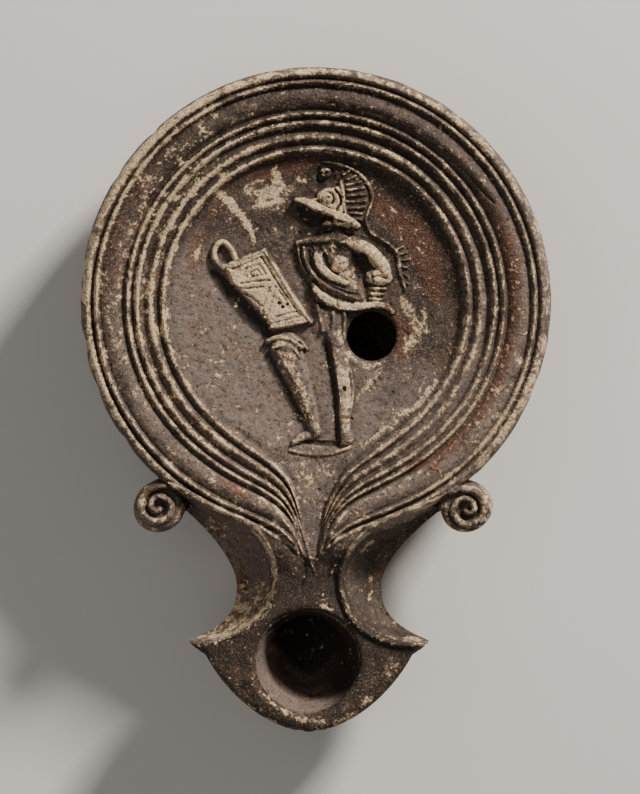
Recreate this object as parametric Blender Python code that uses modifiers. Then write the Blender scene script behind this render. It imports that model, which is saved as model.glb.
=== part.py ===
"""Roman mould-made oil lamp: a round picture lamp with volutes and an angular nozzle.

The lamp is one piece of fired clay, so it is one solid: a hollow bowl closed by a sunken discus, a nozzle
with a wick hole, a filling hole through the discus, and a gladiator standing in relief on the discus.
It is modelled about the middle of its body, with the nozzle along -Y, and set in its frame at the end:
the origin is on the ground, in the middle of the lamp's length and width. All sizes are in metres.
"""

import math

import bmesh
import bpy
from mathutils import Vector
from mathutils.geometry import interpolate_bezier

# Body
BODY_RADIUS = 0.0400
RIM_HEIGHT = 0.0265
SEAM_HEIGHT = 0.0160
FOOT_RADIUS = 0.0210
FOOT_HEIGHT = 0.0008
FOOT_GROOVE_RADIUS = 0.0165
FOOT_GROOVE_WIDTH = 0.0012
FOOT_GROOVE_DEPTH = 0.0006
WALL = 0.0030

# Shoulder and discus
SHOULDER_WIDTH = 0.0142
DISCUS_DROP = 0.0038
DISCUS_SAG = 0.0016

# Neck, where the mouldings run together towards the nozzle
NECK_REACH = 0.0446
NECK_DROP = 0.0028
NECK_SINK = 0.0034
NECK_CROWDING = 0.17
NECK_PULL = 0.95
NECK_INNER_SPREAD = math.radians(3.4)
NECK_OUTER_SPREAD = math.radians(4.8)
NECK_SWEEP = 0.36
NECK_SWEEP_SPREAD = math.radians(16.0)
NECK_ROUNDING = math.radians(1.0)

# Nozzle, as distances from the middle of the body and half widths
NOZZLE_REACH = 0.0726
NOZZLE_LEAN = 0.0011
NOZZLE_DROP = 0.0031
CORNER_REACH = 0.0574
CORNER_HALF_WIDTH = 0.0203
FRONT_HALF_WIDTH = 0.0183
WAIST_REACH = 0.0477
WAIST_HALF_WIDTH = 0.0123
WAIST_TOP_HALF_WIDTH = 0.0055
NOTCH_LENGTH = 0.0130
NOTCH_DEPTH = 0.0100
NOTCH_TOP_DEPTH = 0.0115
CORNER_FLARE = 3.0
CORNER_BACK = 0.0022
KEEL_HEIGHT = 0.0062
KEEL_RISE = 0.0075
LIP_INSET = 0.0008

# Holes
FILLING_HOLE_RADIUS = 0.0042
FILLING_HOLE_ACROSS = 0.0095
FILLING_HOLE_DOWN = 0.0057
WICK_HOLE_REACH = 0.0609
WICK_HOLE_RADIUS = 0.0083
WICK_FUNNEL_WIDTH = 0.0009
WICK_FUNNEL_DEPTH = 0.0018
WICK_FLOOR_RADIUS = 0.0046
PASSAGE_HALF_WIDTH = 0.0080

# Volutes
KNOB_ACROSS = 0.0261
KNOB_REACH = 0.0346
KNOB_RADIUS = 0.0042
KNOB_DROP = 0.0016
KNOB_DEPTH = 0.0070
RIDGE_RADIUS = 0.0007
SPIRAL_TURNS = 1.55
SPIRAL_EYE_RADIUS = 0.0008

# Relief of the gladiator on the discus
FIGURE_HEIGHT = 0.0493
FIGURE_GROUND = 0.0253
RELIEF = 0.0021

# Fineness of the round forms
BODY_STEPS = 72
STATION_CROWDING = 0.62
BOWL_STEPS = 6
CAVITY_STEPS = 36
TUBE_RESOLUTION = 1
DOME_SEGMENTS = 12
MERGE = 0.00001
CUT_PAST = 0.0010

FIRED_CLAY = (0.105, 0.078, 0.062, 1.0)

# The shoulder's mouldings from the outer edge inwards: share of its width, and share of the drop to the discus.
MOULDINGS = (
    (0.010, 1.20),
    (0.040, 0.42),
    (0.085, 0.14),
    (0.130, 0.08),
    (0.158, 0.24),
    (0.198, 0.00),
    (0.240, 0.01),
    (0.300, 0.24),
    (0.345, 0.08),
    (0.405, 0.06),
    (0.465, 0.17),
    (0.515, 0.38),
    (0.577, 0.26),
    (0.641, 0.46),
    (0.697, 0.34),
    (0.765, 0.58),
    (0.820, 0.60),
    (0.873, 0.50),
    (0.944, 0.69),
    (1.000, 0.58),
    (1.070, 0.95),
)

# The gladiator, in hundredths of the figure's height: every stroke has its share of the relief, then points
# of (across, up, half width), measured from the ground between the feet.
STROKES = {
    "visor": (0.80, ((-6.6, 86.6, 0.7), (-1.4, 84.8, 1.7), (5.4, 82.6, 2.9))),
    "cheek_guard": (0.85, ((3.4, 78.0, 1.6), (9.2, 79.0, 2.4), (15.4, 76.8, 1.3))),
    "face": (0.45, ((1.4, 82.0, 1.7), (1.9, 77.2, 1.6))),
    "crest_rim": (
        0.62,
        (
            (2.4, 97.0, 0.9),
            (6.3, 99.1, 1.0),
            (11.5, 98.9, 1.0),
            (15.9, 95.9, 1.0),
            (18.7, 91.4, 1.0),
            (19.7, 86.3, 1.0),
            (18.9, 81.0, 0.9),
        ),
    ),
    "crest_curl": (0.55, ((5.2, 96.6, 0.8), (3.7, 95.4, 1.5), (2.6, 93.9, 0.9))),
    "neck": (0.50, ((7.6, 79.0, 2.6), (7.4, 71.0, 3.2))),
    "blade": (
        0.34,
        (
            (18.6, 79.0, 0.7),
            (18.9, 74.8, 0.8),
            (23.1, 71.4, 0.9),
            (27.2, 68.2, 0.9),
            (29.6, 63.6, 0.9),
            (29.7, 58.8, 0.8),
            (30.8, 54.6, 0.5),
        ),
    ),
    "outer_fold": (
        0.62,
        (
            (-4.0, 70.0, 0.8),
            (-4.2, 64.0, 1.2),
            (-0.8, 57.8, 1.6),
            (5.0, 52.8, 1.9),
            (11.8, 50.6, 1.9),
            (17.6, 52.0, 1.4),
        ),
    ),
    "middle_fold": (
        0.86,
        ((-0.9, 69.8, 1.0), (-0.8, 64.2, 1.3), (2.6, 59.0, 1.5), (7.7, 55.8, 1.6), (13.4, 54.6, 1.2)),
    ),
    "inner_fold": (1.00, ((2.8, 69.0, 1.2), (4.0, 63.6, 1.4), (7.4, 59.8, 1.5), (12.4, 58.6, 1.1))),
    "upper_arm": (0.98, ((11.5, 71.0, 3.0), (19.4, 67.4, 2.9), (26.0, 60.0, 2.6))),
    "forearm": (0.84, ((26.2, 59.6, 2.5), (23.6, 55.6, 2.9), (20.8, 50.8, 2.7))),
    "hips": (0.50, ((2.6, 53.0, 5.4), (5.0, 44.0, 4.8), (6.6, 36.0, 3.8))),
    "back_leg": (0.66, ((6.8, 39.0, 3.6), (9.6, 25.0, 2.9), (10.8, 10.0, 1.7), (10.9, 4.0, 1.6))),
    "back_foot": (0.46, ((9.6, 3.6, 1.5), (13.6, 2.4, 1.4))),
    "front_thigh": (0.55, ((-2.0, 46.0, 4.2), (-9.0, 38.5, 4.6))),
    "greave": (0.82, ((-11.2, 37.6, 5.0), (-6.6, 25.5, 4.4), (-0.6, 9.8, 2.5), (0.9, 4.6, 1.9))),
    "knee_band": (0.96, ((-16.4, 36.4, 0.9), (-12.9, 39.0, 1.1), (-8.2, 38.8, 1.1), (-4.8, 35.8, 0.9))),
    "front_foot": (0.48, ((1.2, 3.8, 1.9), (-7.4, 2.1, 1.3))),
    "ground": (0.30, ((-6.6, 0.3, 0.8), (1.0, -0.6, 1.5), (9.6, 0.3, 0.8))),
    "shield": (0.98, ((-24.6, 64.6, 8.5), (-10.4, 44.6, 8.5))),
    "shield_edge": (0.78, ((-17.4, 68.8, 0.9), (-10.0, 57.2, 1.0), (-2.8, 46.0, 0.9))),
    "shield_top": (0.80, ((-17.4, 68.8, 0.9), (-26.6, 64.2, 1.0), (-30.0, 64.4, 1.1))),
    "shield_loop": (
        0.62,
        ((-29.4, 64.2, 1.1), (-33.6, 66.0, 1.2), (-35.6, 69.6, 1.2), (-34.2, 72.8, 1.1), (-31.4, 71.4, 1.0)),
    ),
}

# Rounded masses: share of the relief, centre (across, up), and half axes.
DOMES = {
    "helmet_bowl": (1.00, (6.6, 85.6), (4.6, 5.0)),
    "crest_field": (0.42, (12.8, 88.4), (6.6, 10.2)),
    "chest": (0.86, (9.0, 65.6), (8.8, 7.6)),
    "breast": (1.12, (8.6, 64.6), (3.2, 3.6)),
    "belly": (0.72, (9.4, 57.4), (9.6, 6.2)),
}


def smoothstep(share):
    """0 below 0, 1 above 1, and a smooth rise between."""
    held = min(1.0, max(0.0, share))
    return held * held * (3 - 2 * held)


def mix(start, end, share):
    return start + (end - start) * share


def discus_radius():
    return BODY_RADIUS - SHOULDER_WIDTH


def floor_height(radius):
    """Height of the dished discus floor at this distance from its centre."""
    return RIM_HEIGHT - DISCUS_DROP - DISCUS_SAG * (1 - (radius / discus_radius()) ** 2)


def lean(point):
    """The hand-pressed nozzle leans a little to the left of the body's middle line."""
    along = smoothstep((-point.y - discus_radius()) / (WAIST_REACH - discus_radius()))
    return Vector((point.x - NOZZLE_LEAN * along, point.y, point.z))


def set_in_frame(point):
    """From the body's own middle to the lamp's frame, whose origin is in the middle of its length."""
    return point + Vector((0, (NOZZLE_REACH - BODY_RADIUS) / 2, 0))


def placed(mesh, leaning=True):
    for vertex in mesh.vertices:
        moved = lean(vertex.co) if leaning else vertex.co
        vertex.co = set_in_frame(moved)
    return mesh


def clear_scene():
    for old in list(bpy.data.objects):
        bpy.data.objects.remove(old)


def new_collection(name):
    collection = bpy.data.collections.new(name)
    bpy.context.scene.collection.children.link(collection)
    return collection


def add_object(name, data, collection, helper=True):
    """Links an object; a helper is only cut away or joined on, and is not a part of its own."""
    made = bpy.data.objects.new(name, data)
    collection.objects.link(made)
    if helper:
        made.hide_render = True
        made.display_type = "WIRE"
    return made


def evaluated_mesh(source):
    """A plain mesh of the object with its modifiers or bevel, its seams welded."""
    bpy.context.view_layer.update()
    graph = bpy.context.evaluated_depsgraph_get()
    mesh = bpy.data.meshes.new_from_object(source.evaluated_get(graph))
    bpy.data.objects.remove(source)
    work = bmesh.new()
    work.from_mesh(mesh)
    bmesh.ops.remove_doubles(work, verts=work.verts, dist=MERGE)
    bmesh.ops.recalc_face_normals(work, faces=work.faces)
    work.to_mesh(mesh)
    work.free()
    return mesh


def turned_mesh(name, profile, steps, collection):
    """Turns a profile of (radius, height) points, from the top of the axis to its foot."""
    line = bpy.data.meshes.new(name)
    line.from_pydata([(r, 0, z) for r, z in profile], [(i, i + 1) for i in range(len(profile) - 1)], [])
    turned = add_object(name, line, collection)
    screw = turned.modifiers.new("turn", "SCREW")
    screw.steps = steps
    screw.render_steps = steps
    screw.use_merge_vertices = True
    screw.merge_threshold = MERGE
    return evaluated_mesh(turned)


def tube_mesh(name, points, radius, collection, widths=None):
    """A bent rod through the points, with its own share of the radius at each."""
    curve = bpy.data.curves.new(name, "CURVE")
    curve.dimensions = "3D"
    curve.bevel_depth = radius
    curve.bevel_resolution = TUBE_RESOLUTION
    curve.use_fill_caps = True
    spline = curve.splines.new("POLY")
    spline.points.add(len(points) - 1)
    for index, point in enumerate(points):
        spline.points[index].co = (*point, 1)
        spline.points[index].radius = widths[index] if widths else 1.0
    return evaluated_mesh(add_object(name, curve, collection))


def smooth_line(points, steps):
    """Points along a smooth curve through the given ones."""
    line = []
    for index in range(len(points) - 1):
        before = points[max(index - 1, 0)]
        start, end = points[index], points[index + 1]
        after = points[min(index + 2, len(points) - 1)]
        line += interpolate_bezier(start, start + (end - before) / 6, end - (after - start) / 6, end, steps + 1)[:-1]
    return line + [points[-1]]


def body_profile():
    """The body's outside, from the middle of the discus over the shoulder and down to the foot."""
    edge = MOULDINGS[-1][0] * SHOULDER_WIDTH
    floor_edge = BODY_RADIUS - edge
    profile = [(floor_edge * share, floor_height(floor_edge * share)) for share in (0.0, 0.45, 0.80)]
    for inwards, drop in reversed(MOULDINGS):
        profile.append((BODY_RADIUS - inwards * SHOULDER_WIDTH, RIM_HEIGHT - drop * DISCUS_DROP))
    for step in range(BOWL_STEPS + 1):
        turn = math.pi / 2 * (1 - step / BOWL_STEPS)
        profile.append(bowl_point(FOOT_RADIUS, FOOT_HEIGHT, BODY_RADIUS, turn))
    profile.append((FOOT_RADIUS, 0))
    profile.append((FOOT_GROOVE_RADIUS + FOOT_GROOVE_WIDTH / 2, 0))
    profile.append((FOOT_GROOVE_RADIUS, FOOT_GROOVE_DEPTH))
    profile.append((FOOT_GROOVE_RADIUS - FOOT_GROOVE_WIDTH / 2, 0))
    profile.append((0, 0))
    return profile


def bowl_point(foot_radius, foot_height, side_radius, turn):
    """A point of the bowl's quarter ellipse, from the foot at turn 0 to the seam at a quarter turn."""
    radius = mix(foot_radius, side_radius, math.sin(turn))
    return radius, mix(foot_height, SEAM_HEIGHT, 1 - math.cos(turn))


def neck_share(angle, radius):
    """How strongly the mouldings are pulled into the neck, this far round from the nozzle."""
    beyond = math.hypot(angle, NECK_ROUNDING) - NECK_ROUNDING
    outwards = min(1.0, max(0.0, (radius - discus_radius()) / SHOULDER_WIDTH))
    pull = math.exp(-beyond / mix(NECK_INNER_SPREAD, NECK_OUTER_SPREAD, outwards))
    sweep = NECK_SWEEP * (1 - outwards) * math.exp(-beyond / NECK_SWEEP_SPREAD)
    return min(NECK_PULL, pull + sweep * (1 - pull))


def pulled_into_neck(point):
    """Draws the turned mouldings out into the neck, where they meet in a point."""
    radius = math.hypot(point.x, point.y)
    if radius < MERGE:
        return point
    angle = math.atan2(point.x, -point.y)
    angle -= STATION_CROWDING * math.sin(angle)
    share = neck_share(angle, radius)
    above = smoothstep((point.z - SEAM_HEIGHT) / (RIM_HEIGHT - DISCUS_DROP - DISCUS_SAG - SEAM_HEIGHT))
    inside = min(1.0, radius / discus_radius()) ** 2
    target = NECK_REACH - (BODY_RADIUS - radius) * NECK_CROWDING
    pulled = mix(radius, target, share * inside * above)
    settled = smoothstep((share * inside - 0.35) / (NECK_PULL - 0.35)) * above
    height = mix(point.z, RIM_HEIGHT - NECK_DROP, settled)
    return Vector((pulled * math.sin(angle), -pulled * math.cos(angle), height))


def body_mesh(collection):
    mesh = turned_mesh("body", body_profile(), BODY_STEPS, collection)
    for vertex in mesh.vertices:
        vertex.co = pulled_into_neck(vertex.co)
    return placed(mesh)


def notch_half_width(reach, waist, depth, bend):
    """Half width of the neck, which a hollow on each side narrows from the body to the waist."""
    return waist + depth * min(1.0, max(0.0, WAIST_REACH - reach) / NOTCH_LENGTH) ** bend


def seam_half_width(reach):
    """The nozzle's outline at the seam: hollow sides, two corners, then the blunt point."""
    if reach < WAIST_REACH:
        return notch_half_width(reach, WAIST_HALF_WIDTH, NOTCH_DEPTH, 1.6)
    if reach < CORNER_REACH:
        share = (reach - WAIST_REACH) / (CORNER_REACH - WAIST_REACH)
        return mix(WAIST_HALF_WIDTH, CORNER_HALF_WIDTH, share**CORNER_FLARE)
    share = (reach - CORNER_REACH) / (NOZZLE_REACH - CORNER_REACH)
    corner = max(0.0, 1 - (reach - CORNER_REACH) / CORNER_BACK)
    front = FRONT_HALF_WIDTH * (1 - min(share, 0.999) ** 1.3) ** 0.55
    return mix(front, CORNER_HALF_WIDTH, corner)


def top_half_width(reach):
    """The nozzle's top edge, which the volutes' ridges follow."""
    if reach >= CORNER_REACH:
        return max(seam_half_width(reach) - LIP_INSET, LIP_INSET / 4)
    if reach < WAIST_REACH:
        return notch_half_width(reach, WAIST_TOP_HALF_WIDTH, NOTCH_TOP_DEPTH, 3.0)
    share = (reach - WAIST_REACH) / (CORNER_REACH - WAIST_REACH)
    return mix(WAIST_TOP_HALF_WIDTH, CORNER_HALF_WIDTH - LIP_INSET, 1 - math.sqrt(max(0.0, 1 - share**2)))


def nozzle_section(reach):
    """Half of the nozzle's cross-section at this distance from the body's middle, from the top to the keel."""
    along = min(1.0, max(0.0, (reach - WAIST_REACH) / (NOZZLE_REACH - WAIST_REACH)))
    sunk = 1 - smoothstep((reach - WAIST_REACH + NOTCH_LENGTH) / (NOTCH_LENGTH * 0.45))
    top = RIM_HEIGHT - NOZZLE_DROP - NECK_SINK * sunk
    keel = KEEL_HEIGHT + KEEL_RISE * along**2
    seam, edge = seam_half_width(reach), top_half_width(reach)
    scooped = mix(top, SEAM_HEIGHT, 0.66)
    return [
        (0, top),
        (edge * 0.8, top),
        (edge, top - LIP_INSET / 4),
        (mix(edge, seam, 0.42), scooped),
        (seam, SEAM_HEIGHT + LIP_INSET / 2),
        (seam, SEAM_HEIGHT - LIP_INSET / 2),
        (seam * 0.80, mix(keel, SEAM_HEIGHT, 0.35)),
        (seam * 0.45, keel),
        (0, keel),
    ]


def nozzle_mesh():
    """The nozzle as a loft of cross-sections, from inside the body to the point."""
    reaches = [WAIST_REACH - NOTCH_LENGTH * share for share in (1.12, 1.0, 0.8, 0.65, 0.5, 0.35, 0.18)]
    reaches += [mix(WAIST_REACH, CORNER_REACH, share) for share in (0.0, 0.35, 0.6, 0.8, 0.92, 1.0)]
    reaches.append(CORNER_REACH + CORNER_BACK)
    reaches += [mix(CORNER_REACH, NOZZLE_REACH, share) for share in (0.3, 0.48, 0.65, 0.8, 0.9, 0.96, 0.99, 1.0)]
    work = bmesh.new()
    loops = []
    for reach in reaches:
        half = nozzle_section(reach)
        ring = half + [(-x, z) for x, z in reversed(half[1:-1])]
        corners = [work.verts.new((x, -reach, z)) for x, z in ring]
        loops.append([work.edges.new((corners[i - 1], corners[i])) for i in range(len(corners))])
    bmesh.ops.bridge_loops(work, edges=[edge for loop in loops for edge in loop])
    bmesh.ops.holes_fill(work, edges=work.edges, sides=0)
    bmesh.ops.recalc_face_normals(work, faces=work.faces)
    mesh = bpy.data.meshes.new("nozzle")
    work.to_mesh(mesh)
    work.free()
    return placed(mesh)


def knob_mesh(side, collection):
    """The round end of a volute, a short drum that tapers in towards the bowl below the seam."""
    top = RIM_HEIGHT - KNOB_DROP
    low = top - KNOB_DEPTH
    profile = [(0, top), (KNOB_RADIUS * 0.92, top), (KNOB_RADIUS * 1.06, low)]
    profile += [(KNOB_RADIUS * 0.6, low - KNOB_DEPTH * 0.7), (0, low - KNOB_DEPTH * 0.7)]
    mesh = turned_mesh("knob", profile, 20, collection)
    inwards = Vector((-side * KNOB_RADIUS * 0.7, KNOB_RADIUS * 0.9, 0))
    for vertex in mesh.vertices:
        if vertex.co.z < low - MERGE:
            vertex.co += inwards
        vertex.co += Vector((side * KNOB_ACROSS, -KNOB_REACH, 0))
    return placed(mesh)


def volute_line(side):
    """The ridge from the eye of the spiral, along the shoulder and the waist, out to the nozzle's corner."""
    knob_top = RIM_HEIGHT - KNOB_DROP
    spiral_radius = KNOB_RADIUS - RIDGE_RADIUS * 0.8
    line = []
    steps = round(SPIRAL_TURNS * 11)
    for step in range(steps):
        share = step / steps
        turn = math.pi / 2 - math.tau * SPIRAL_TURNS * (1 - share)
        radius = mix(SPIRAL_EYE_RADIUS, spiral_radius, share)
        line.append(Vector((KNOB_ACROSS + radius * math.cos(turn), -KNOB_REACH + radius * math.sin(turn), knob_top)))
    shoulder = [Vector((KNOB_ACROSS, -KNOB_REACH + spiral_radius, knob_top))]
    for angle, out in ((32, 0.955), (25, 0.945)):
        turn = math.radians(angle)
        radius = BODY_RADIUS * out
        shoulder.append(Vector((radius * math.sin(turn), -radius * math.cos(turn), RIM_HEIGHT - RIDGE_RADIUS)))
    nozzle_top = RIM_HEIGHT - NOZZLE_DROP
    flare = CORNER_REACH - WAIST_REACH
    for share in (-0.85, -0.45, 0.0, 0.5, 0.8, 0.95):
        reach = WAIST_REACH + flare * share
        height = mix(RIM_HEIGHT - RIDGE_RADIUS, nozzle_top, smoothstep((share + 1.6) / 1.3))
        shoulder.append(Vector((top_half_width(reach), -reach, height)))
    shoulder.append(Vector((CORNER_HALF_WIDTH - LIP_INSET * 1.2, -CORNER_REACH, nozzle_top)))
    line += smooth_line(shoulder, 2)
    return [Vector((side * point.x, point.y, point.z)) for point in line]


def volute_mesh(side, collection):
    return placed(tube_mesh("volute", volute_line(side), RIDGE_RADIUS, collection))


def on_discus(mesh, height_scale):
    """Lays a figure's stroke on the dished floor, flattened to its own height."""
    for vertex in mesh.vertices:
        vertex.co.y -= FIGURE_GROUND
        radius = math.hypot(vertex.co.x, vertex.co.y)
        vertex.co.z = floor_height(radius) + vertex.co.z * height_scale
    return placed(mesh)


def stroke_mesh(name, share, points, collection):
    unit = FIGURE_HEIGHT / 100
    widest = max(width for _, _, width in points) * unit
    line = [Vector((across * unit, up * unit, 0)) for across, up, _ in points]
    widths = [width * unit / widest for _, _, width in points]
    mesh = tube_mesh(name, line, widest, collection, widths)
    return on_discus(mesh, share * RELIEF / widest)


def dome_mesh(share, centre, half_axes):
    unit = FIGURE_HEIGHT / 100
    work = bmesh.new()
    bmesh.ops.create_uvsphere(work, u_segments=DOME_SEGMENTS, v_segments=DOME_SEGMENTS // 2, radius=1.0)
    bmesh.ops.scale(work, verts=work.verts, vec=(half_axes[0] * unit, half_axes[1] * unit, share * RELIEF))
    bmesh.ops.translate(work, verts=work.verts, vec=(centre[0] * unit, centre[1] * unit, 0))
    mesh = bpy.data.meshes.new("dome")
    work.to_mesh(mesh)
    work.free()
    return on_discus(mesh, 1.0)


def gladiator(collection):
    for name, (share, points) in STROKES.items():
        add_object(name, stroke_mesh(name, share, points, collection), collection)
    for name, (share, centre, half_axes) in DOMES.items():
        add_object(name, dome_mesh(share, centre, half_axes), collection)


def cavity_profile():
    """The oil chamber, a wall's thickness inside the body."""
    side = BODY_RADIUS - WALL
    floor_edge = discus_radius()
    ceiling = RIM_HEIGHT - WALL
    profile = [(floor_edge * share, floor_height(floor_edge * share) - WALL) for share in (0.0, 0.5, 1.0)]
    profile.append((mix(floor_edge, side, 0.60), ceiling - DISCUS_DROP * 0.40))
    profile.append((mix(floor_edge, side, 0.88), ceiling - DISCUS_DROP * 0.55))
    for step in range(BOWL_STEPS + 1):
        turn = math.pi / 2 * (1 - step / BOWL_STEPS)
        profile.append(bowl_point(FOOT_RADIUS - WALL / 2, WALL, side, turn))
    profile.append((0, WALL))
    return profile


def passage_mesh():
    """The way from the oil chamber to the wick hole."""
    rear = discus_radius()
    front = WICK_HOLE_REACH + WICK_FLOOR_RADIUS
    ceiling = RIM_HEIGHT - NOZZLE_DROP - WALL
    floor = KEEL_HEIGHT + WALL * 0.9
    work = bmesh.new()
    bmesh.ops.create_uvsphere(work, u_segments=18, v_segments=10, radius=1.0)
    half = (PASSAGE_HALF_WIDTH, (front - rear) / 2, (ceiling - floor) / 2)
    bmesh.ops.scale(work, verts=work.verts, vec=half)
    bmesh.ops.translate(work, verts=work.verts, vec=(0, -(front + rear) / 2, (ceiling + floor) / 2))
    mesh = bpy.data.meshes.new("passage")
    work.to_mesh(mesh)
    work.free()
    return placed(mesh)


def hole_mesh(name, across, reach, sizes, segments):
    """A round cutter on an upright axis through (height, radius) levels, lowest first."""
    work = bmesh.new()
    (low, low_radius), (high, high_radius) = sizes
    made = bmesh.ops.create_cone(
        work, cap_ends=True, segments=segments, radius1=low_radius, radius2=high_radius, depth=high - low
    )
    bmesh.ops.translate(work, verts=made["verts"], vec=(across, -reach, (high + low) / 2))
    mesh = bpy.data.meshes.new(name)
    work.to_mesh(mesh)
    work.free()
    return placed(mesh)


def wick_profile():
    """The wick hole: a rounded lip, a straight bore, and a bowl that closes above the keel."""
    top = RIM_HEIGHT - NOZZLE_DROP
    floor = KEEL_HEIGHT + KEEL_RISE * 0.42 + WALL
    return [
        (0, top + CUT_PAST),
        (WICK_HOLE_RADIUS + WICK_FUNNEL_WIDTH * 1.3, top + CUT_PAST),
        (WICK_HOLE_RADIUS + WICK_FUNNEL_WIDTH, top),
        (WICK_HOLE_RADIUS + WICK_FUNNEL_WIDTH * 0.4, top - WICK_FUNNEL_DEPTH * 0.35),
        (WICK_HOLE_RADIUS, top - WICK_FUNNEL_DEPTH),
        (WICK_HOLE_RADIUS * 0.94, mix(floor, top, 0.5)),
        (mix(WICK_FLOOR_RADIUS, WICK_HOLE_RADIUS, 0.6), mix(floor, top, 0.15)),
        (WICK_FLOOR_RADIUS, floor),
        (0, floor),
    ]


def hollows(collection):
    """Everything that is empty: the oil chamber, the passage to the wick, and the holes."""
    chamber = turned_mesh("oil_chamber", cavity_profile(), CAVITY_STEPS, collection)
    add_object("oil_chamber", placed(chamber, leaning=False), collection)
    add_object("passage", passage_mesh(), collection)
    hole_radius = math.hypot(FILLING_HOLE_ACROSS, FILLING_HOLE_DOWN)
    floor = floor_height(hole_radius)
    filling = ((floor - WALL - CUT_PAST, FILLING_HOLE_RADIUS), (RIM_HEIGHT + CUT_PAST, FILLING_HOLE_RADIUS))
    mesh = hole_mesh("filling_hole", FILLING_HOLE_ACROSS, FILLING_HOLE_DOWN, filling, 28)
    add_object("filling_hole", mesh, collection)
    wick = turned_mesh("wick_hole", wick_profile(), 36, collection)
    for vertex in wick.vertices:
        vertex.co.y -= WICK_HOLE_REACH
    add_object("wick_hole", placed(wick), collection)


def boolean(target, operation, collection):
    modifier = target.modifiers.new(operation.lower(), "BOOLEAN")
    modifier.operation = operation
    modifier.operand_type = "COLLECTION"
    modifier.collection = collection
    modifier.solver = "EXACT"
    modifier.use_self = True


def clay_material():
    material = bpy.data.materials.new("fired_clay")
    material.use_nodes = True
    shader = material.node_tree.nodes["Principled BSDF"]
    shader.inputs["Base Color"].default_value = FIRED_CLAY
    shader.inputs["Roughness"].default_value = 0.78
    shader.inputs["Metallic"].default_value = 0.0
    return material


def main():
    clear_scene()
    parts = new_collection("roman_oil_lamp")
    raised = new_collection("joined_on")
    emptied = new_collection("cut_away")
    lamp = add_object("lamp", body_mesh(parts), parts, helper=False)
    add_object("nozzle", nozzle_mesh(), raised)
    for side, word in ((-1, "left"), (1, "right")):
        add_object(f"{word}_knob", knob_mesh(side, raised), raised)
        add_object(f"{word}_volute", volute_mesh(side, raised), raised)
    gladiator(raised)
    hollows(emptied)
    boolean(lamp, "UNION", raised)
    boolean(lamp, "DIFFERENCE", emptied)
    lamp.data.materials.append(clay_material())


main()
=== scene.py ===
"""Looks of a Roman mould-made oil lamp: worn slip, pale deposit and the carved top.

The lamp is one piece of fired clay. Its moulded top is modelled as a field of heights over the plan, in
millimetres from the middle of the body with the nozzle towards -Y. It is cut to the lamp's outline,
hollowed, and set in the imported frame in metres.
"""

from __future__ import annotations

import logging
import math
from dataclasses import dataclass, field
from enum import Enum

import bmesh
import bpy
import numpy as np
from mathutils import Matrix, Vector


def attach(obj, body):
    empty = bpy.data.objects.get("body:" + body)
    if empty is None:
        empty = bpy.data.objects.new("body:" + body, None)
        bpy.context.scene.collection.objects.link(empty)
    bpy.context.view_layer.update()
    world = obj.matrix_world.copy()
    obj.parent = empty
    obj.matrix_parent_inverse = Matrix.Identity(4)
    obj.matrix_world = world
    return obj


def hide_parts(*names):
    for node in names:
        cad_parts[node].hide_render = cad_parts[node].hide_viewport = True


log = logging.getLogger("oil_lamp")

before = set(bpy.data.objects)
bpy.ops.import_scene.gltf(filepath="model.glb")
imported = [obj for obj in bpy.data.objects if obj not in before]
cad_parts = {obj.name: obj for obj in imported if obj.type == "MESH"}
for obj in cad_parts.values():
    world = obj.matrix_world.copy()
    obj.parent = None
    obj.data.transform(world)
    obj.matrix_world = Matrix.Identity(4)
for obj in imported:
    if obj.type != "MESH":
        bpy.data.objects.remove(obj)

Path = list[tuple[float, ...]]
Field = np.ndarray
Colour = tuple[float, float, float]
Pattern = tuple[float, float, float]
Socket = bpy.types.NodeSocket


class Profile(Enum):
    """How a stroke of relief stands on the clay."""

    ROUND = "round"
    SOFT = "soft"
    FLAT = "flat"


@dataclass(frozen=True)
class Stroke:
    """A raised or cut line: points of (x, y) or (x, y, half width), and a height, in millimetres."""

    points: Path
    height: float
    width: float = 0.4
    profile: Profile = Profile.ROUND
    curved: bool = True


@dataclass(frozen=True)
class Mass:
    """A raised area inside a convex or nearly convex outline, in millimetres."""

    outline: Path
    height: float
    edge: float = 0.8


@dataclass(frozen=True)
class Dome:
    """A rounded knob or boss, in millimetres."""

    centre: tuple[float, float]
    half_axes: tuple[float, float]
    height: float
    turn: float = 0.0


def smoothstep(share: Field) -> Field:
    """0 below 0, 1 above 1, and a smooth rise between."""
    held = np.clip(share, 0.0, 1.0)
    return held * held * (3.0 - 2.0 * held)


def mix(start: Field, end: Field, share: Field) -> Field:
    """The value this share of the way from start to end."""
    return start + (end - start) * share


def rounded_path(points: Path, steps: int = 5) -> np.ndarray:
    """A smooth curve through the points.

    Args:
        points: The points, all with the same number of values.
        steps: Stretches between one point and the next.

    Returns:
        The curve's points as rows.
    """
    rows = np.array(points, dtype=float)
    closed = np.allclose(rows[0], rows[-1]) and len(rows) > 3
    first = rows[-2:-1] if closed else rows[:1]
    last = rows[1:2] if closed else rows[-1:]
    padded = np.vstack([first, rows, last])
    curve = []
    for index in range(1, len(padded) - 2):
        before, start, end, after = padded[index - 1 : index + 3]
        for step in range(steps):
            t = step / steps
            curve.append(
                0.5
                * (
                    2 * start
                    + (end - before) * t
                    + (2 * before - 5 * start + 4 * end - after) * t * t
                    + (3 * start - before - 3 * end + after) * t**3
                )
            )
    curve.append(rows[-1])
    return np.array(curve)


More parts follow.
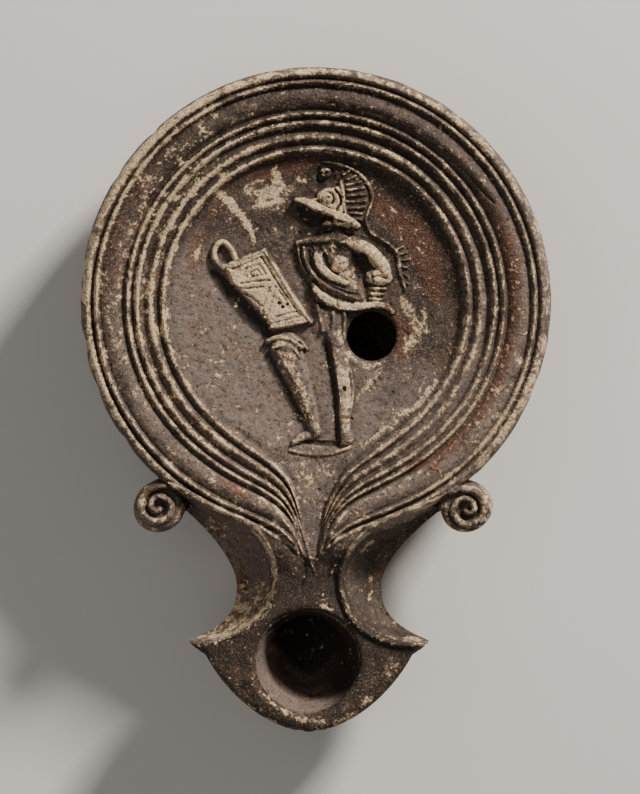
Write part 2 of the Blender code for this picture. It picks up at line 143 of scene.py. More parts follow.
class Plan:
    """Points over the lamp's plan, in millimetres from the middle of the body."""

    def __init__(self, x: Field, y: Field) -> None:
        """Keeps the points.

        Args:
            x: Across, to the right.
            y: Up the photograph, away from the nozzle.
        """
        self.x = x
        self.y = y

    def near(self, points: np.ndarray, margin: float) -> np.ndarray:
        """Which points lie in the box of a shape.

        Args:
            points: The shape's points as rows.
            margin: How far the box is widened, in millimetres.

        Returns:
            A mask of the plan's points.
        """
        low, high = points[:, :2].min(axis=0) - margin, points[:, :2].max(axis=0) + margin
        return (self.x > low[0]) & (self.x < high[0]) & (self.y > low[1]) & (self.y < high[1])

    def share_of_width(self, path: np.ndarray, chosen: np.ndarray) -> Field:
        """How far each chosen point is from a path, as a share of the path's half width there.

        Args:
            path: Rows of (x, y, half width).
            chosen: The mask of points to work out.

        Returns:
            The smallest share for each chosen point.
        """
        x, y = self.x[chosen], self.y[chosen]
        best = np.full(x.shape, 1e6)
        for start, end in zip(path[:-1], path[1:]):
            along = end[:2] - start[:2]
            length = max(float(along @ along), 1e-12)
            t = np.clip(((x - start[0]) * along[0] + (y - start[1]) * along[1]) / length, 0.0, 1.0)
            away = np.hypot(x - start[0] - along[0] * t, y - start[1] - along[1] * t)
            best = np.minimum(best, away / mix(start[2], end[2], t))
        return best

    def distance(self, path: Path, curved: bool = True) -> Field:
        """Distance of every point from a path.

        Args:
            path: Points of (x, y).
            curved: Whether the path is smoothed through its points.

        Returns:
            Distances in millimetres.
        """
        rows = rounded_path(path) if curved else np.array(path, dtype=float)
        widened = np.column_stack([rows[:, :2], np.ones(len(rows))])
        return self.share_of_width(widened, np.ones(self.x.shape, dtype=bool))

    def stroke(self, stroke: Stroke) -> Field:
        """The height that a stroke adds at every point.

        Args:
            stroke: The stroke to draw.

        Returns:
            Heights in millimetres, 0 away from the stroke.
        """
        points = stroke.points
        if len(points[0]) == 2:
            points = [(x, y, stroke.width) for x, y in points]
        path = rounded_path(points) if stroke.curved and len(points) > 2 else np.array(points, dtype=float)
        raised = np.zeros(self.x.shape)
        chosen = self.near(path, float(path[:, 2].max()) + 0.1)
        share = np.clip(self.share_of_width(path, chosen), 0.0, 1.0)
        if stroke.profile is Profile.ROUND:
            rise = np.sqrt(1.0 - share**2)
        elif stroke.profile is Profile.SOFT:
            rise = (1.0 - share**2) ** 2
        else:
            rise = smoothstep((1.0 - share) / 0.45)
        raised[chosen] = rise * stroke.height
        return raised

    def beyond(self, path: Path, side: float) -> Field:
        """How far points lie on one side of an open path, and 0 elsewhere.

        Args:
            path: Points of (x, y).
            side: 1 for the left of the path's direction and -1 for its right.

        Returns:
            Distances in millimetres, only within 6 mm of the path.
        """
        rows = rounded_path(path)
        best = np.full(self.x.shape, 6.0)
        found = np.zeros(self.x.shape)
        chosen = self.near(rows, 6.0)
        x, y = self.x[chosen], self.y[chosen]
        nearest, signed = best[chosen], found[chosen]
        for start, end in zip(rows[:-1], rows[1:]):
            along = end - start
            length = max(float(along @ along), 1e-12)
            share = ((x - start[0]) * along[0] + (y - start[1]) * along[1]) / length
            t = np.clip(share, 0.0, 1.0)
            dx, dy = x - start[0] - along[0] * t, y - start[1] - along[1] * t
            away = np.hypot(dx, dy)
            closer = away < nearest
            across = (along[0] * dy - along[1] * dx) * side
            nearest = np.where(closer, away, nearest)
            signed = np.where(closer, np.where(across > 0, away, 0.0), signed)
        found[chosen] = signed
        return found

    def mass(self, mass: Mass) -> Field:
        """The height that a raised area adds at every point.

        Args:
            mass: The area, with its height and the width of its sloping edge.

        Returns:
            Heights in millimetres, 0 outside the area.
        """
        corners = np.array(mass.outline, dtype=float)
        chosen = self.near(corners, 0.5)
        x, y = self.x[chosen], self.y[chosen]
        inside = np.zeros(x.shape, dtype=bool)
        ring = list(zip(corners, np.roll(corners, -1, axis=0)))
        for (ax, ay), (bx, by) in ring:
            crosses = (ay > y) != (by > y)
            at = ax + (y - ay) * (bx - ax) / (by - ay if by != ay else 1e-9)
            inside ^= crosses & (x < at)
        closed = np.column_stack([np.vstack([corners, corners[:1]]), np.ones(len(corners) + 1)])
        away = self.share_of_width(closed, chosen)
        raised = np.zeros(self.x.shape)
        raised[chosen] = np.where(inside, smoothstep(away / mass.edge), 0.0) * mass.height
        return raised

    def dome(self, dome: Dome) -> Field:
        """The height that a rounded boss adds at every point.

        Args:
            dome: The boss.

        Returns:
            Heights in millimetres, 0 outside the boss.
        """
        c, s = math.cos(dome.turn), math.sin(dome.turn)
        x, y = self.x - dome.centre[0], self.y - dome.centre[1]
        u, v = (x * c + y * s) / dome.half_axes[0], (-x * s + y * c) / dome.half_axes[1]
        return dome.height * np.sqrt(np.clip(1.0 - u * u - v * v, 0.0, 1.0))

    def spot(self, x: float, y: float, reach: float) -> Field:
        """A soft round patch, 1 at its middle."""
        return np.exp(-(((self.x - x) ** 2 + (self.y - y) ** 2) / reach**2))

    def grain(self, size: float, seed: int) -> Field:
        """Smooth seeded noise of about unit strength.

        Args:
            size: The grain's size in millimetres.
            seed: Chooses the pattern.

        Returns:
            A value at every point.
        """
        rng = np.random.default_rng(seed)
        columns = int(100 / size) + 6
        rows = int(140 / size) + 6
        table = rng.standard_normal((rows, columns))
        u, v = (self.x + 50.0) / size + 1.0, (self.y + 90.0) / size + 1.0
        column = np.clip(np.floor(u).astype(int), 0, columns - 2)
        row = np.clip(np.floor(v).astype(int), 0, rows - 2)
        s, t = smoothstep(u - column), smoothstep(v - row)
        low = mix(table[row, column], table[row, column + 1], s)
        high = mix(table[row + 1, column], table[row + 1, column + 1], s)
        return mix(low, high, t)


@dataclass
class Gladiator:
    """The figure in relief on the discus, helmeted and seen from the side, behind a curved shield."""

    relief: float = 1.65
    shield_face: Path = field(
        default_factory=lambda: [(-16.0, 6.6), (-14.1, 7.0), (-8.4, 9.2), (-0.4, -3.2), (-1.6, -3.9),
            (-4.6, -4.5), (-7.7, -4.7), (-9.0, -2.5), (-10.5, 0.0), (-12.4, 1.3), (-13.8, 2.2),
            (-14.6, 3.2), (-15.3, 5.0)]
    )

    def grounds(self) -> list[Mass]:
        """The broad raised grounds that the lines stand on.

        Returns:
            The areas, each with its height and sloping edge.
        """
        return [
            Mass([(4.4, 22.6), (6.6, 21.9), (8.3, 20.6), (9.2, 18.6), (9.2, 16.4), (8.2, 13.2),
                (5.2, 13.6), (4.4, 16.6), (3.6, 20.8)], 0.45, 0.5),
            Mass([(-3.2, 17.4), (-1.0, 16.6), (0.3, 15.6), (1.5, 14.6), (1.2, 13.3), (1.8, 12.5),
                (5.0, 12.8), (6.6, 12.3), (7.2, 13.0), (5.4, 15.6), (4.9, 18.9), (4.1, 20.5), (2.8, 19.7),
                (0.9, 19.2), (-0.1, 18.0)], 1.45, 0.75),
            Mass([(-3.4, 10.4), (2.0, 11.6), (6.2, 11.0), (7.4, 8.8), (6.5, 6.4), (8.4, 3.6), (9.6, 0.4),
                (11.6, -1.1), (6.0, -1.6), (1.0, 0.0), (-1.4, 3.4), (-2.9, 6.2)], 1.25, 1.6),
            Mass([(-0.4, 17.8), (0.3, 18.9), (1.6, 19.6), (3.9, 20.3), (4.8, 19.0), (5.0, 16.6),
                (5.8, 14.6), (4.4, 14.2), (2.6, 14.8), (0.8, 16.0)], 2.05, 1.1),
            Mass([(8.9, 3.4), (12.2, 3.0), (11.4, -0.6), (8.6, -0.6)], 0.8, 0.8),
            Mass([(-0.8, 0.6), (5.4, -0.8), (6.0, -6.0), (5.0, -9.0), (2.6, -8.0), (1.0, -5.6),
                (-1.2, -5.2)], 0.8, 1.6),
            Mass([(-16.9, 6.6), (-13.4, 7.2), (-8.7, 9.0), (-0.9, -3.3), (-4.2, -4.9), (-8.6, -5.1),
                (-11.0, -3.0), (-12.7, -0.9), (-15.0, 2.2), (-16.7, 4.6)], 1.7, 2.3),
            Mass(self.shield_face, 1.95, 0.8),
        ]

    def domes(self) -> list[Dome]:
        """The rounded masses of the helmet, chest and ankle.

        Returns:
            The bosses.
        """
        return [
            Dome((1.9, 17.6), (1.9, 1.8), 2.5),
            Dome((10.7, 4.2), (2.4, 1.6), 1.95),
            Dome((10.2, 1.4), (2.0, 1.8), 1.0),
            Dome((1.7, 21.8), (1.0, 0.95), 1.3),
            Dome((4.1, 6.6), (1.65, 1.75), 2.1),
            Dome((3.3, 5.6), (1.0, 0.9), 1.8),
            Dome((4.9, -20.5), (1.05, 0.45), 1.45),
            Dome((0.4, -24.9), (3.8, 1.0), 0.42),
            Dome((3.0, 10.0), (4.4, 1.9), 1.55),
            Dome((0.9, -14.0), (3.0, 8.0), 0.25, math.radians(12)),
        ]

    def strokes(self) -> list[Stroke]:
        """The raised lines, each with its own height.

        Returns:
            The ridges, in millimetres over the grounds.
        """
        rim = [(1.2, 23.7, 0.2), (2.8, 23.5, 0.3), (4.6, 23.1, 0.33), (6.6, 22.2, 0.36),
            (8.1, 21.0, 0.38), (9.2, 19.4, 0.4), (9.6, 18.0, 0.4), (9.3, 16.4, 0.34), (8.8, 15.1, 0.28),
            (8.5, 13.9, 0.26), (8.9, 12.6, 0.28), (9.6, 11.6, 0.28), (10.9, 10.8, 0.28),
            (12.4, 9.8, 0.28), (13.6, 8.7, 0.3)]
        feathers = [
            ((4.7, 21.5), (5.6, 22.1)), ((5.2, 20.7), (6.8, 21.3)), ((5.3, 19.8), (7.7, 20.3)),
            ((5.3, 18.9), (8.2, 19.3)), ((5.3, 17.9), (8.4, 18.2)), ((5.3, 16.9), (8.5, 17.1)),
            ((5.4, 15.9), (8.3, 16.0)), ((5.6, 15.0), (7.9, 15.0)), ((5.8, 14.2), (7.6, 14.0)),
        ]
        fringe = [
            ((13.7, 8.9), (14.8, 9.5)), ((13.9, 8.0), (15.5, 8.4)), ((14.1, 7.1), (15.8, 7.2)),
            ((14.2, 6.1), (15.5, 5.8)), ((14.4, 5.0), (15.5, 4.4)), ((14.6, 3.9), (15.6, 3.0)),
        ]
        fingers = [((9.2, 2.3), (11.8, 2.2)), ((9.2, 1.4), (11.5, 1.3)), ((9.2, 0.5), (11.0, 0.4))]
        lines = [
            Stroke(rim, 0.75),
            Stroke([(13.6, 8.7, 0.4), (14.1, 7.0, 0.45), (14.3, 5.0, 0.4), (14.8, 3.6, 0.35),
                (15.2, 2.0, 0.25)], 0.55),
            Stroke([(4.3, 20.4, 0.4), (4.6, 18.6, 0.42), (4.8, 16.4, 0.45), (5.2, 14.6, 0.45)], 1.75),
            Stroke([(-3.3, 17.3, 0.4), (-1.9, 17.1, 0.75), (-0.5, 16.5, 1.0), (1.2, 15.6, 1.0),
                (2.9, 14.9, 0.95), (4.8, 14.3, 0.95), (6.0, 13.6, 0.9), (7.1, 12.9, 0.6)], 2.45,
                profile=Profile.FLAT),
            Stroke([(1.5, 13.1, 0.5), (3.0, 13.2, 0.6), (4.4, 13.3, 0.6), (5.6, 13.0, 0.5)], 1.9),
            Stroke([(3.6, 12.6, 1.0), (4.0, 11.0, 1.5)], 0.9),
            Stroke([(-3.0, 10.0, 0.5), (0.2, 10.4, 0.8), (3.2, 10.5, 1.1), (5.6, 10.1, 1.3),
                (8.0, 9.2, 1.4), (10.0, 7.6, 1.35), (11.3, 6.1, 1.3), (11.9, 4.6, 1.0)], 1.95),
            Stroke([(0.0, 8.3, 0.6), (0.4, 6.9, 0.9), (1.3, 5.6, 1.0), (2.7, 4.4, 1.0), (4.0, 3.7, 0.85),
                (5.4, 3.2, 0.5)], 1.9, profile=Profile.FLAT),
            Stroke([(-2.0, 9.3, 0.3), (-1.7, 7.0, 0.42), (-0.4, 4.7, 0.5), (1.8, 2.8, 0.5),
                (4.4, 1.5, 0.5), (7.2, 0.5, 0.35)], 1.6),
            Stroke([(1.6, 3.9, 0.25), (3.4, 2.7, 0.3), (5.6, 1.9, 0.3), (7.2, 1.6, 0.2)], 1.5),
            Stroke([(-2.9, 9.7), (-2.8, 7.8), (-2.2, 6.0), (-1.5, 4.8)], 1.05, 0.25),
            Stroke([(-0.5, 2.9, 0.5), (0.5, 1.4, 0.9), (1.8, 0.4, 1.1), (3.6, -0.4, 1.0),
                (5.7, -0.9, 0.9), (8.2, -0.7, 0.8), (10.2, -0.4, 0.75), (12.0, -0.8, 0.65),
                (13.0, -1.7, 0.45)], 1.75, profile=Profile.FLAT),
            Stroke([(-0.6, 10.0), (0.3, 8.2)], 1.5, 0.35),
            Stroke([(1.1, 9.4), (1.9, 8.2)], 1.6, 0.35),
            Stroke([(2.6, 9.2), (3.0, 8.4)], 1.7, 0.35),
            Stroke([(-13.5, 6.2), (-13.6, 7.5), (-14.3, 9.1), (-15.6, 10.1), (-16.8, 9.5), (-17.2, 8.1),
                (-16.7, 6.7), (-15.4, 5.7), (-14.2, 5.1)], 1.6, 0.55),
            Stroke([(-14.4, 6.4), (-13.3, 6.8), (-11.4, 7.6), (-8.6, 8.7)], 2.2, 0.5),
            Stroke([(-8.6, 8.7), (-6.2, 4.7), (-3.5, 0.3), (-0.9, -3.3)], 2.2, 0.55),
            Stroke([(-7.6, -4.3, 0.4), (-5.3, -3.9, 0.6), (-3.4, -3.6, 0.5), (-1.3, -3.3, 0.3)], 2.1),
            Stroke([(-8.1, -6.6), (-6.4, -6.0), (-4.2, -6.4), (-2.3, -7.7)], 1.95, 0.45),
            Stroke([(-7.2, -7.8), (-5.2, -7.3), (-3.6, -8.0), (-2.6, -9.4)], 1.85, 0.4),
            Stroke([(-4.2, -6.2), (-2.6, -6.6), (-1.5, -7.9)], 1.3, 0.35),
            Stroke([(-4.9, -7.6, 2.7), (-4.3, -9.6, 2.6), (-3.1, -12.6, 2.25), (-2.0, -15.6, 1.75),
                (-1.0, -18.3, 1.35), (-0.3, -20.8, 1.05), (0.0, -22.0, 0.9)], 1.75),
            Stroke([(-6.4, -8.4, 0.5), (-4.9, -10.9, 0.6), (-3.6, -13.2, 0.6), (-2.2, -16.2, 0.55),
                (-1.4, -18.6, 0.4)], 1.8),
            Stroke([(0.2, -22.0, 0.9), (-1.6, -22.6, 0.85), (-3.7, -23.7, 0.5)], 1.0),
            Stroke([(3.2, -5.8, 1.5), (4.0, -9.9, 1.6), (4.8, -13.4, 1.6), (5.1, -17.0, 1.3),
                (4.9, -20.4, 1.0), (5.3, -23.0, 1.15)], 1.6),
            Stroke([(5.9, -11.6, 0.25), (6.3, -14.4, 0.35), (6.1, -16.9, 0.35), (5.6, -19.3, 0.3)], 1.6),
            Stroke([(3.6, -12.0, 0.25), (3.9, -14.6, 0.3), (4.2, -17.0, 0.2)], 1.55),
            Stroke([(-4.3, -25.0, 0.3), (-2.0, -25.5, 0.4), (0.6, -25.7, 0.45), (3.2, -25.4, 0.4),
                (5.6, -24.6, 0.3)], 0.45),
            Stroke([(0.3, -0.6), (1.2, -4.8)], 1.2, 0.45),
            Stroke([(3.0, -1.6), (2.8, -6.6)], 1.25, 0.45),
            Stroke([(4.9, -1.8), (4.9, -6.0)], 1.3, 0.4),
        ]
        lines += [Stroke([start, end], 0.95, 0.3) for start, end in feathers]
        lines += [Stroke([start, end], 0.45, 0.2) for start, end in fringe]
        lines += [Stroke([start, end], 1.55, 0.36) for start, end in fingers]
        return lines

    def cuts(self) -> list[Stroke]:
        """The incised lines, each with its depth.

        Returns:
            The cuts, with heights below 0.
        """
        meander = [(-12.4, 4.4), (-11.7, 5.7), (-9.5, 6.4), (-8.4, 4.7), (-10.7, 4.2), (-11.1, 5.0),
            (-9.8, 5.5), (-9.4, 4.9)]
        fine = [
            [(-14.6, 5.7), (-13.6, 5.7), (-11.4, 6.6), (-9.2, 7.6)],
            [(-9.2, 7.7), (-6.9, 4.0), (-5.0, 1.1), (-2.7, -2.0)],
            [(-12.9, 3.1), (-10.2, 3.5), (-7.7, 3.7)],
            [(-13.8, 2.7), (-12.3, 2.3), (-10.5, 2.4), (-8.8, 2.6)],
            [(-7.8, 2.5), (-8.3, 0.9), (-8.9, -0.7), (-8.8, -2.2)],
            [(-6.8, 2.7), (-7.2, 0.8), (-7.7, -0.7), (-8.3, -2.4)],
            [(-12.1, 1.5), (-10.4, 0.5), (-9.1, -0.7)], [(-6.3, -2.4), (-4.7, -2.0), (-3.2, -1.6)],
            [(-7.5, -3.7), (-5.2, -3.1), (-2.5, -2.3)], [(-6.2, 2.0), (-4.9, 0.2)],
        ]
        lines = [Stroke(points, -0.42, 0.27, Profile.SOFT) for points in fine]
        lines.append(Stroke(meander, -0.36, 0.25, Profile.SOFT, False))
        lines += [Stroke([(x, y), (x + 0.1, y + 0.1)], -0.6, 0.3) for x, y in ((-6.2, -0.2), (-4.8, -0.4),
            (-5.6, -0.9))]
        lines += [
            Stroke([(3.4, 18.9), (4.1, 17.9), (4.2, 16.7), (3.6, 15.7)], -0.9, 0.25),
            Stroke([(1.2, 17.0), (1.0, 17.9), (1.9, 18.6), (2.9, 18.1), (3.0, 17.0), (2.2, 16.5),
                (1.7, 17.2), (2.2, 17.7)], -0.45, 0.22),
            Stroke([(1.9, 14.3, 0.5), (2.7, 14.2, 0.5)], -1.7),
            Stroke([(2.3, 20.6, 0.6), (3.0, 21.2, 0.5), (2.9, 22.2, 0.4)], -1.0),
            Stroke([(1.6, 21.7), (1.9, 21.9)], -0.6, 0.3),
            Stroke([(0.6, 22.6, 0.3), (0.2, 21.6, 0.35), (0.9, 20.7, 0.4)], -0.8),
            Stroke([(1.5, 7.9, 0.4), (1.8, 6.7, 0.45), (2.5, 5.6, 0.35), (3.6, 4.7, 0.3)], -0.6),
            Stroke([(8.1, 7.4, 0.9), (7.7, 6.3, 1.25), (7.6, 4.9, 1.0)], -1.6),
            Stroke([(-1.1, 8.6, 0.35), (-0.9, 7.0, 0.4), (0.2, 5.2, 0.4), (2.0, 3.5, 0.35)], -0.45),
            Stroke([(-0.4, 3.8, 0.3), (1.1, 2.3, 0.35), (3.4, 0.9, 0.35), (6.4, 0.1, 0.3)], -0.45),
            Stroke([(9.6, 4.2), (10.8, 4.4), (11.9, 4.1)], -0.5, 0.25),
            Stroke([(2.2, -6.6, 0.5), (2.6, -10.4, 0.6), (3.4, -15.0, 0.55), (3.7, -20.0, 0.5),
                (3.9, -23.4, 0.5)], -0.4),
            Stroke([(4.9, -14.5), (4.9, -14.8)], -0.8, 0.33),
            Stroke([(3.8, -19.6), (6.2, -19.7)], -0.6, 0.25),
            Stroke([(-1.6, -23.6, 0.35), (1.4, -23.8, 0.45), (4.0, -23.9, 0.35)], -0.55),
        ]
        return lines

    def heights(self, plan: Plan) -> Field:
        """Height of the figure over the discus floor.

        Args:
            plan: The points.

        Returns:
            Heights in millimetres.
        """
        raised = np.zeros(plan.x.shape)
        for mass in self.grounds():
            raised = np.maximum(raised, plan.mass(mass))
        for shape in self.domes():
            raised = np.maximum(raised, plan.dome(shape))
        for line in self.strokes():
            raised = np.maximum(raised, plan.stroke(line))
        for cut in self.cuts():
            raised = raised + plan.stroke(cut)
        worn = 1.0 + 0.025 * plan.grain(0.45, 11) + 0.04 * plan.grain(1.0, 12)
        return np.maximum(raised, -0.35) * worn * self.relief / 2.0


@dataclass
class MouldedTop:
    """The top of the lamp: shoulder mouldings, sunken discus, neck, volutes and nozzle."""

    radius: float = 40.0
    rim: float = 26.5
    seam: float = 16.0
    shoulder: float = 14.2
    drop: float = 3.8
    sag: float = 1.6
    neck_reach: float = 44.6
    neck_drop: float = 2.8
    neck_sink: float = 3.4
    nozzle_drop: float = 3.1
    nozzle_reach: float = 72.6
    corner_reach: float = 57.4
    corner_half_width: float = 20.3
    front_half_width: float = 18.3
    waist_reach: float = 47.7
    waist_half_width: float = 12.3
    waist_top_half_width: float = 5.5
    notch_length: float = 13.0
    lean: float = 1.1
    knob_radius: float = 4.2
    knob_drop: float = 1.6
    left_knob: tuple[float, float] = (-26.5, -34.5)
    right_knob: tuple[float, float] = (25.5, -34.9)
    wick_centre: tuple[float, float] = (-1.4, -60.8)
    filling_centre: tuple[float, float] = (9.5, -5.7)
    filling_lip: tuple[float, float] = (9.45, -5.68)
    outside: float = 8.0
    mouldings: Path = field(
        default_factory=lambda: [(0.000, 2.60), (0.010, 1.20), (0.040, 0.40), (0.085, 0.10),
            (0.128, 0.08), (0.150, 0.24), (0.168, 0.34), (0.188, 0.12), (0.212, -0.02), (0.234, 0.10),
            (0.258, 0.30), (0.290, 0.22), (0.360, 0.14), (0.420, 0.17), (0.480, 0.29), (0.524, 0.50),
            (0.550, 0.44), (0.580, 0.22), (0.606, 0.36), (0.630, 0.55), (0.655, 0.46), (0.690, 0.29),
            (0.715, 0.40), (0.748, 0.67), (0.785, 0.66), (0.832, 0.50), (0.868, 0.47), (0.905, 0.66),
            (0.940, 0.80), (0.968, 0.66), (1.003, 0.52), (1.040, 0.72), (1.085, 1.00), (1.120, 1.02)]
    )

    def neck_share(self, angle: Field, radius: Field) -> Field:
        """How strongly the mouldings are pulled into the neck.

        Args:
            angle: How far round from the nozzle, in radians.
            radius: The moulding's radius on a plain round body.

        Returns:
            Shares from 0 to 0.95.
        """
        rounding = math.radians(1.0)
        beyond = np.hypot(angle, rounding) - rounding
        inner = self.radius - self.shoulder
        outwards = np.clip((radius - inner) / self.shoulder, 0.0, 1.0)
        pull = np.exp(-beyond / mix(math.radians(3.4), math.radians(4.8), outwards))
        sweep = 0.36 * (1.0 - outwards) * np.exp(-beyond / math.radians(16.0))
        return np.minimum(0.95, pull + sweep * (1.0 - pull))

    def pulled(self, angle: Field, radius: Field) -> Field:
        """Where a moulding lies, once the mouldings are drawn into the neck.

        Args:
            angle: How far round from the nozzle, in radians.
            radius: The moulding's radius on a plain round body.

        Returns:
            Distances from the body's middle.
        """
        inside = np.minimum(1.0, radius / (self.radius - self.shoulder)) ** 2
        share = self.neck_share(angle, radius) * inside
        return mix(radius, self.neck_reach - (self.radius - radius) * 0.17, share)

    def moulding_radius(self, angle: Field, away: Field) -> Field:
        """The moulding found at a point, by halving the range in which it must lie.

        Args:
            angle: How far round from the nozzle, in radians.
            away: The point's distance from the body's middle.

        Returns:
            Radii on a plain round body.
        """
        low = np.zeros(away.shape)
        high = np.full(away.shape, self.radius + 6.0)
        halvings = 22
        for _ in range(halvings):
            middle = (low + high) / 2.0
            short = self.pulled(angle, middle) < away
            low = np.where(short, middle, low)
            high = np.where(short, high, middle)
        return (low + high) / 2.0

    def body_heights(self, plan: Plan) -> Field:
        """Height of the shoulder and the bare discus.

        Args:
            plan: The points.

        Returns:
            Heights in millimetres, low outside the body.
        """
        shift = self.leaning(-plan.y)
        x = plan.x + shift
        away = np.hypot(x, plan.y)
        angle = np.arctan2(x, -plan.y)
        radius = self.moulding_radius(angle, away)
        turned = [(self.radius - i * self.shoulder, self.rim - d * self.drop) for i, d in self.mouldings]
        curve = rounded_path(turned, 6)
        order = np.argsort(curve[:, 0])
        inner = self.radius - self.shoulder
        edge = self.radius - self.mouldings[-1][0] * self.shoulder
        floor = self.rim - self.drop - self.sag * (1.0 - (radius / inner) ** 2)
        edge_floor = self.rim - self.drop - self.sag * (1.0 - (edge / inner) ** 2)
        rings = np.interp(radius, curve[order, 0], curve[order, 1])
        step = self.rim - self.mouldings[-1][1] * self.drop - edge_floor
        settle = step * smoothstep((radius - edge + 2.5) / 2.5)
        height = np.where(radius < edge, floor + settle, rings)
        inside = np.minimum(1.0, radius / inner) ** 2
        share = self.neck_share(angle, radius) * inside
        settled = smoothstep((share - 0.30) / 0.50)
        ridged = self.rim - self.neck_drop + (height - (self.rim - 0.45 * self.drop)) * 0.22
        outer = smoothstep((0.42 - (self.radius - radius) / self.shoulder) / 0.34)
        flush = np.minimum(ridged, self.rim - self.nozzle_drop + 0.02)
        height = mix(height, mix(np.minimum(ridged, self.rim), flush, outer), settled)
        for path, side in ((self.left_volute(), -1.0), (self.right_volute(), 1.0)):
            height = height - 5.0 * smoothstep((plan.beyond(path[:9], side) - 0.5) / 1.9)
        return np.where(radius > self.radius + 0.5, self.outside, height)

    def leaning(self, reach: Field) -> Field:
        """How far the hand-pressed nozzle leans to the left, this far from the body's middle."""
        start = self.radius - self.shoulder
        return self.lean * smoothstep((reach - start) / (self.waist_reach - start))

    def notch(self, reach: Field, waist: float, depth: float, bend: float) -> Field:
        """Half width of the neck, which a hollow on each side narrows towards the waist.

        Args:
            reach: Distance from the body's middle.
            waist: Half width at the waist.
            depth: How much wider the neck is where the hollow starts.
            bend: How suddenly it widens.

        Returns:
            Half widths in millimetres.
        """
        return waist + depth * np.clip((self.waist_reach - reach) / self.notch_length, 0.0, 1.0) ** bend

    def seam_half_width(self, reach: Field) -> Field:
        """The nozzle's outline: hollow sides, two corners, then the blunt point.

        Args:
            reach: Distance from the body's middle.

        Returns:
            Half widths in millimetres at the seam.
        """
        behind = self.notch(reach, self.waist_half_width, 10.0, 1.6)
        flare = np.clip((reach - self.waist_reach) / (self.corner_reach - self.waist_reach), 0.0, 1.0)
        waisted = mix(self.waist_half_width, self.corner_half_width, flare**3)
        share = np.clip((reach - self.corner_reach) / (self.nozzle_reach - self.corner_reach), 0.0, 1.0)
        corner = np.clip(1.0 - (reach - self.corner_reach) / 2.2, 0.0, 1.0)
        front = mix(self.front_half_width * (1.0 - share**1.3) ** 0.55, self.corner_half_width, corner)
        ahead = np.where(reach < self.corner_reach, waisted, front)
        return np.where(reach < self.waist_reach, behind, ahead)

    def top_half_width(self, reach: Field) -> Field:
        """The nozzle's top edge, which the volutes' ridges follow.

        Args:
            reach: Distance from the body's middle.

        Returns:
            Half widths in millimetres at the top.
        """
        behind = self.notch(reach, self.waist_top_half_width, 11.5, 3.0)
        flare = np.clip((reach - self.waist_reach) / (self.corner_reach - self.waist_reach), 0.0, 1.0)
        outer = self.corner_half_width - 0.8
        swung = mix(self.waist_top_half_width, outer, 1.0 - np.sqrt(1.0 - flare**2))
        front = np.maximum(self.seam_half_width(reach) - 0.8, 0.2)
        return np.where(reach < self.waist_reach, behind, np.where(reach < self.corner_reach, swung, front))

    def nozzle_heights(self, plan: Plan) -> Field:
        """Height of the neck and nozzle, with their scooped sides.

        Args:
            plan: The points.

        Returns:
            Heights in millimetres, low outside the nozzle.
        """
        reach = -plan.y
        across = np.abs(plan.x + self.leaning(reach))
        seam, edge = self.seam_half_width(reach), self.top_half_width(reach)
        away = np.hypot(plan.x, plan.y)
        sunk = 1.0 - smoothstep((away - self.radius + 4.0) / 4.3)
        aside = smoothstep((np.abs(plan.x + 0.9) - 0.8) / 3.6)
        lift = (self.nozzle_drop - 0.35) * (1.0 - smoothstep((away - self.radius + 1.0) / 8.0)) * aside
        lift = lift * (reach > 30.0)
        top = self.rim - self.nozzle_drop - self.neck_sink * sunk + lift
        slope = np.clip((across - edge) / np.maximum(seam - edge, 0.4), 0.0, 1.0)
        scooped = top - (top - self.seam) * (1.0 - (1.0 - slope) ** 2.1)
        front = top - 0.5 * slope**2
        height = mix(scooped, front, smoothstep((reach - self.corner_reach + 0.6) / 0.9))
        height = np.where(across > seam + 0.7, self.outside, height)
        return np.where((reach < 31.0) | (reach > self.nozzle_reach + 0.7), self.outside, height)

    def scoop(self, plan: Plan) -> Field:
        """How far down the nozzle's hollow side walls each point is.

        Args:
            plan: The points.

        Returns:
            0 at the top edge, 1 at the seam, and 0 elsewhere.
        """
        reach = -plan.y
        across = np.abs(plan.x + self.leaning(reach))
        seam, edge = self.seam_half_width(reach), self.top_half_width(reach)
        down = np.clip((across - edge) / np.maximum(seam - edge, 0.4), 0.0, 1.0)
        return down * (reach < self.corner_reach) * (reach > self.waist_reach - self.notch_length)

    def front_outline(self) -> Path:
        """The nozzle's front edge from corner to corner.

        Returns:
            Points of (x, y) from the left corner round to the right one.
        """
        reaches = [float(r) for r in np.linspace(self.corner_reach, self.nozzle_reach - 0.02, 30)]
        half = self.seam_half_width(np.array(reaches))
        right = [(float(w) - self.lean, -r) for w, r in zip(half, reaches)]
        left = [(-float(w) - self.lean, -r) for w, r in zip(half, reaches)]
        return left + right[::-1]

    def spiral(self, side: int, centre: tuple[float, float], join: Path) -> Stroke:
        """A volute's spiral: from its eye outwards to where it joins the ridge.

        Args:
            side: -1 for the left knob and 1 for the right one.
            centre: The knob's middle.
            join: Points that lead from the spiral's outer turn to the shoulder.

        Returns:
            The stroke, with its half widths.
        """
        points = []
        steps = 30
        turns = 1.6
        for step in range(steps + 1):
            share = step / steps
            turn = math.pi / 2 - math.tau * turns * (1.0 - share)
            radius = mix(0.45, self.knob_radius - 0.85, share**0.85)
            x, y = centre[0] + side * radius * math.cos(turn), centre[1] + radius * math.sin(turn)
            points.append((x, y, mix(0.5, 0.75, share)))
        points += [(x, y, 0.6) for x, y in join]
        return Stroke(points, 1.25, curved=False)

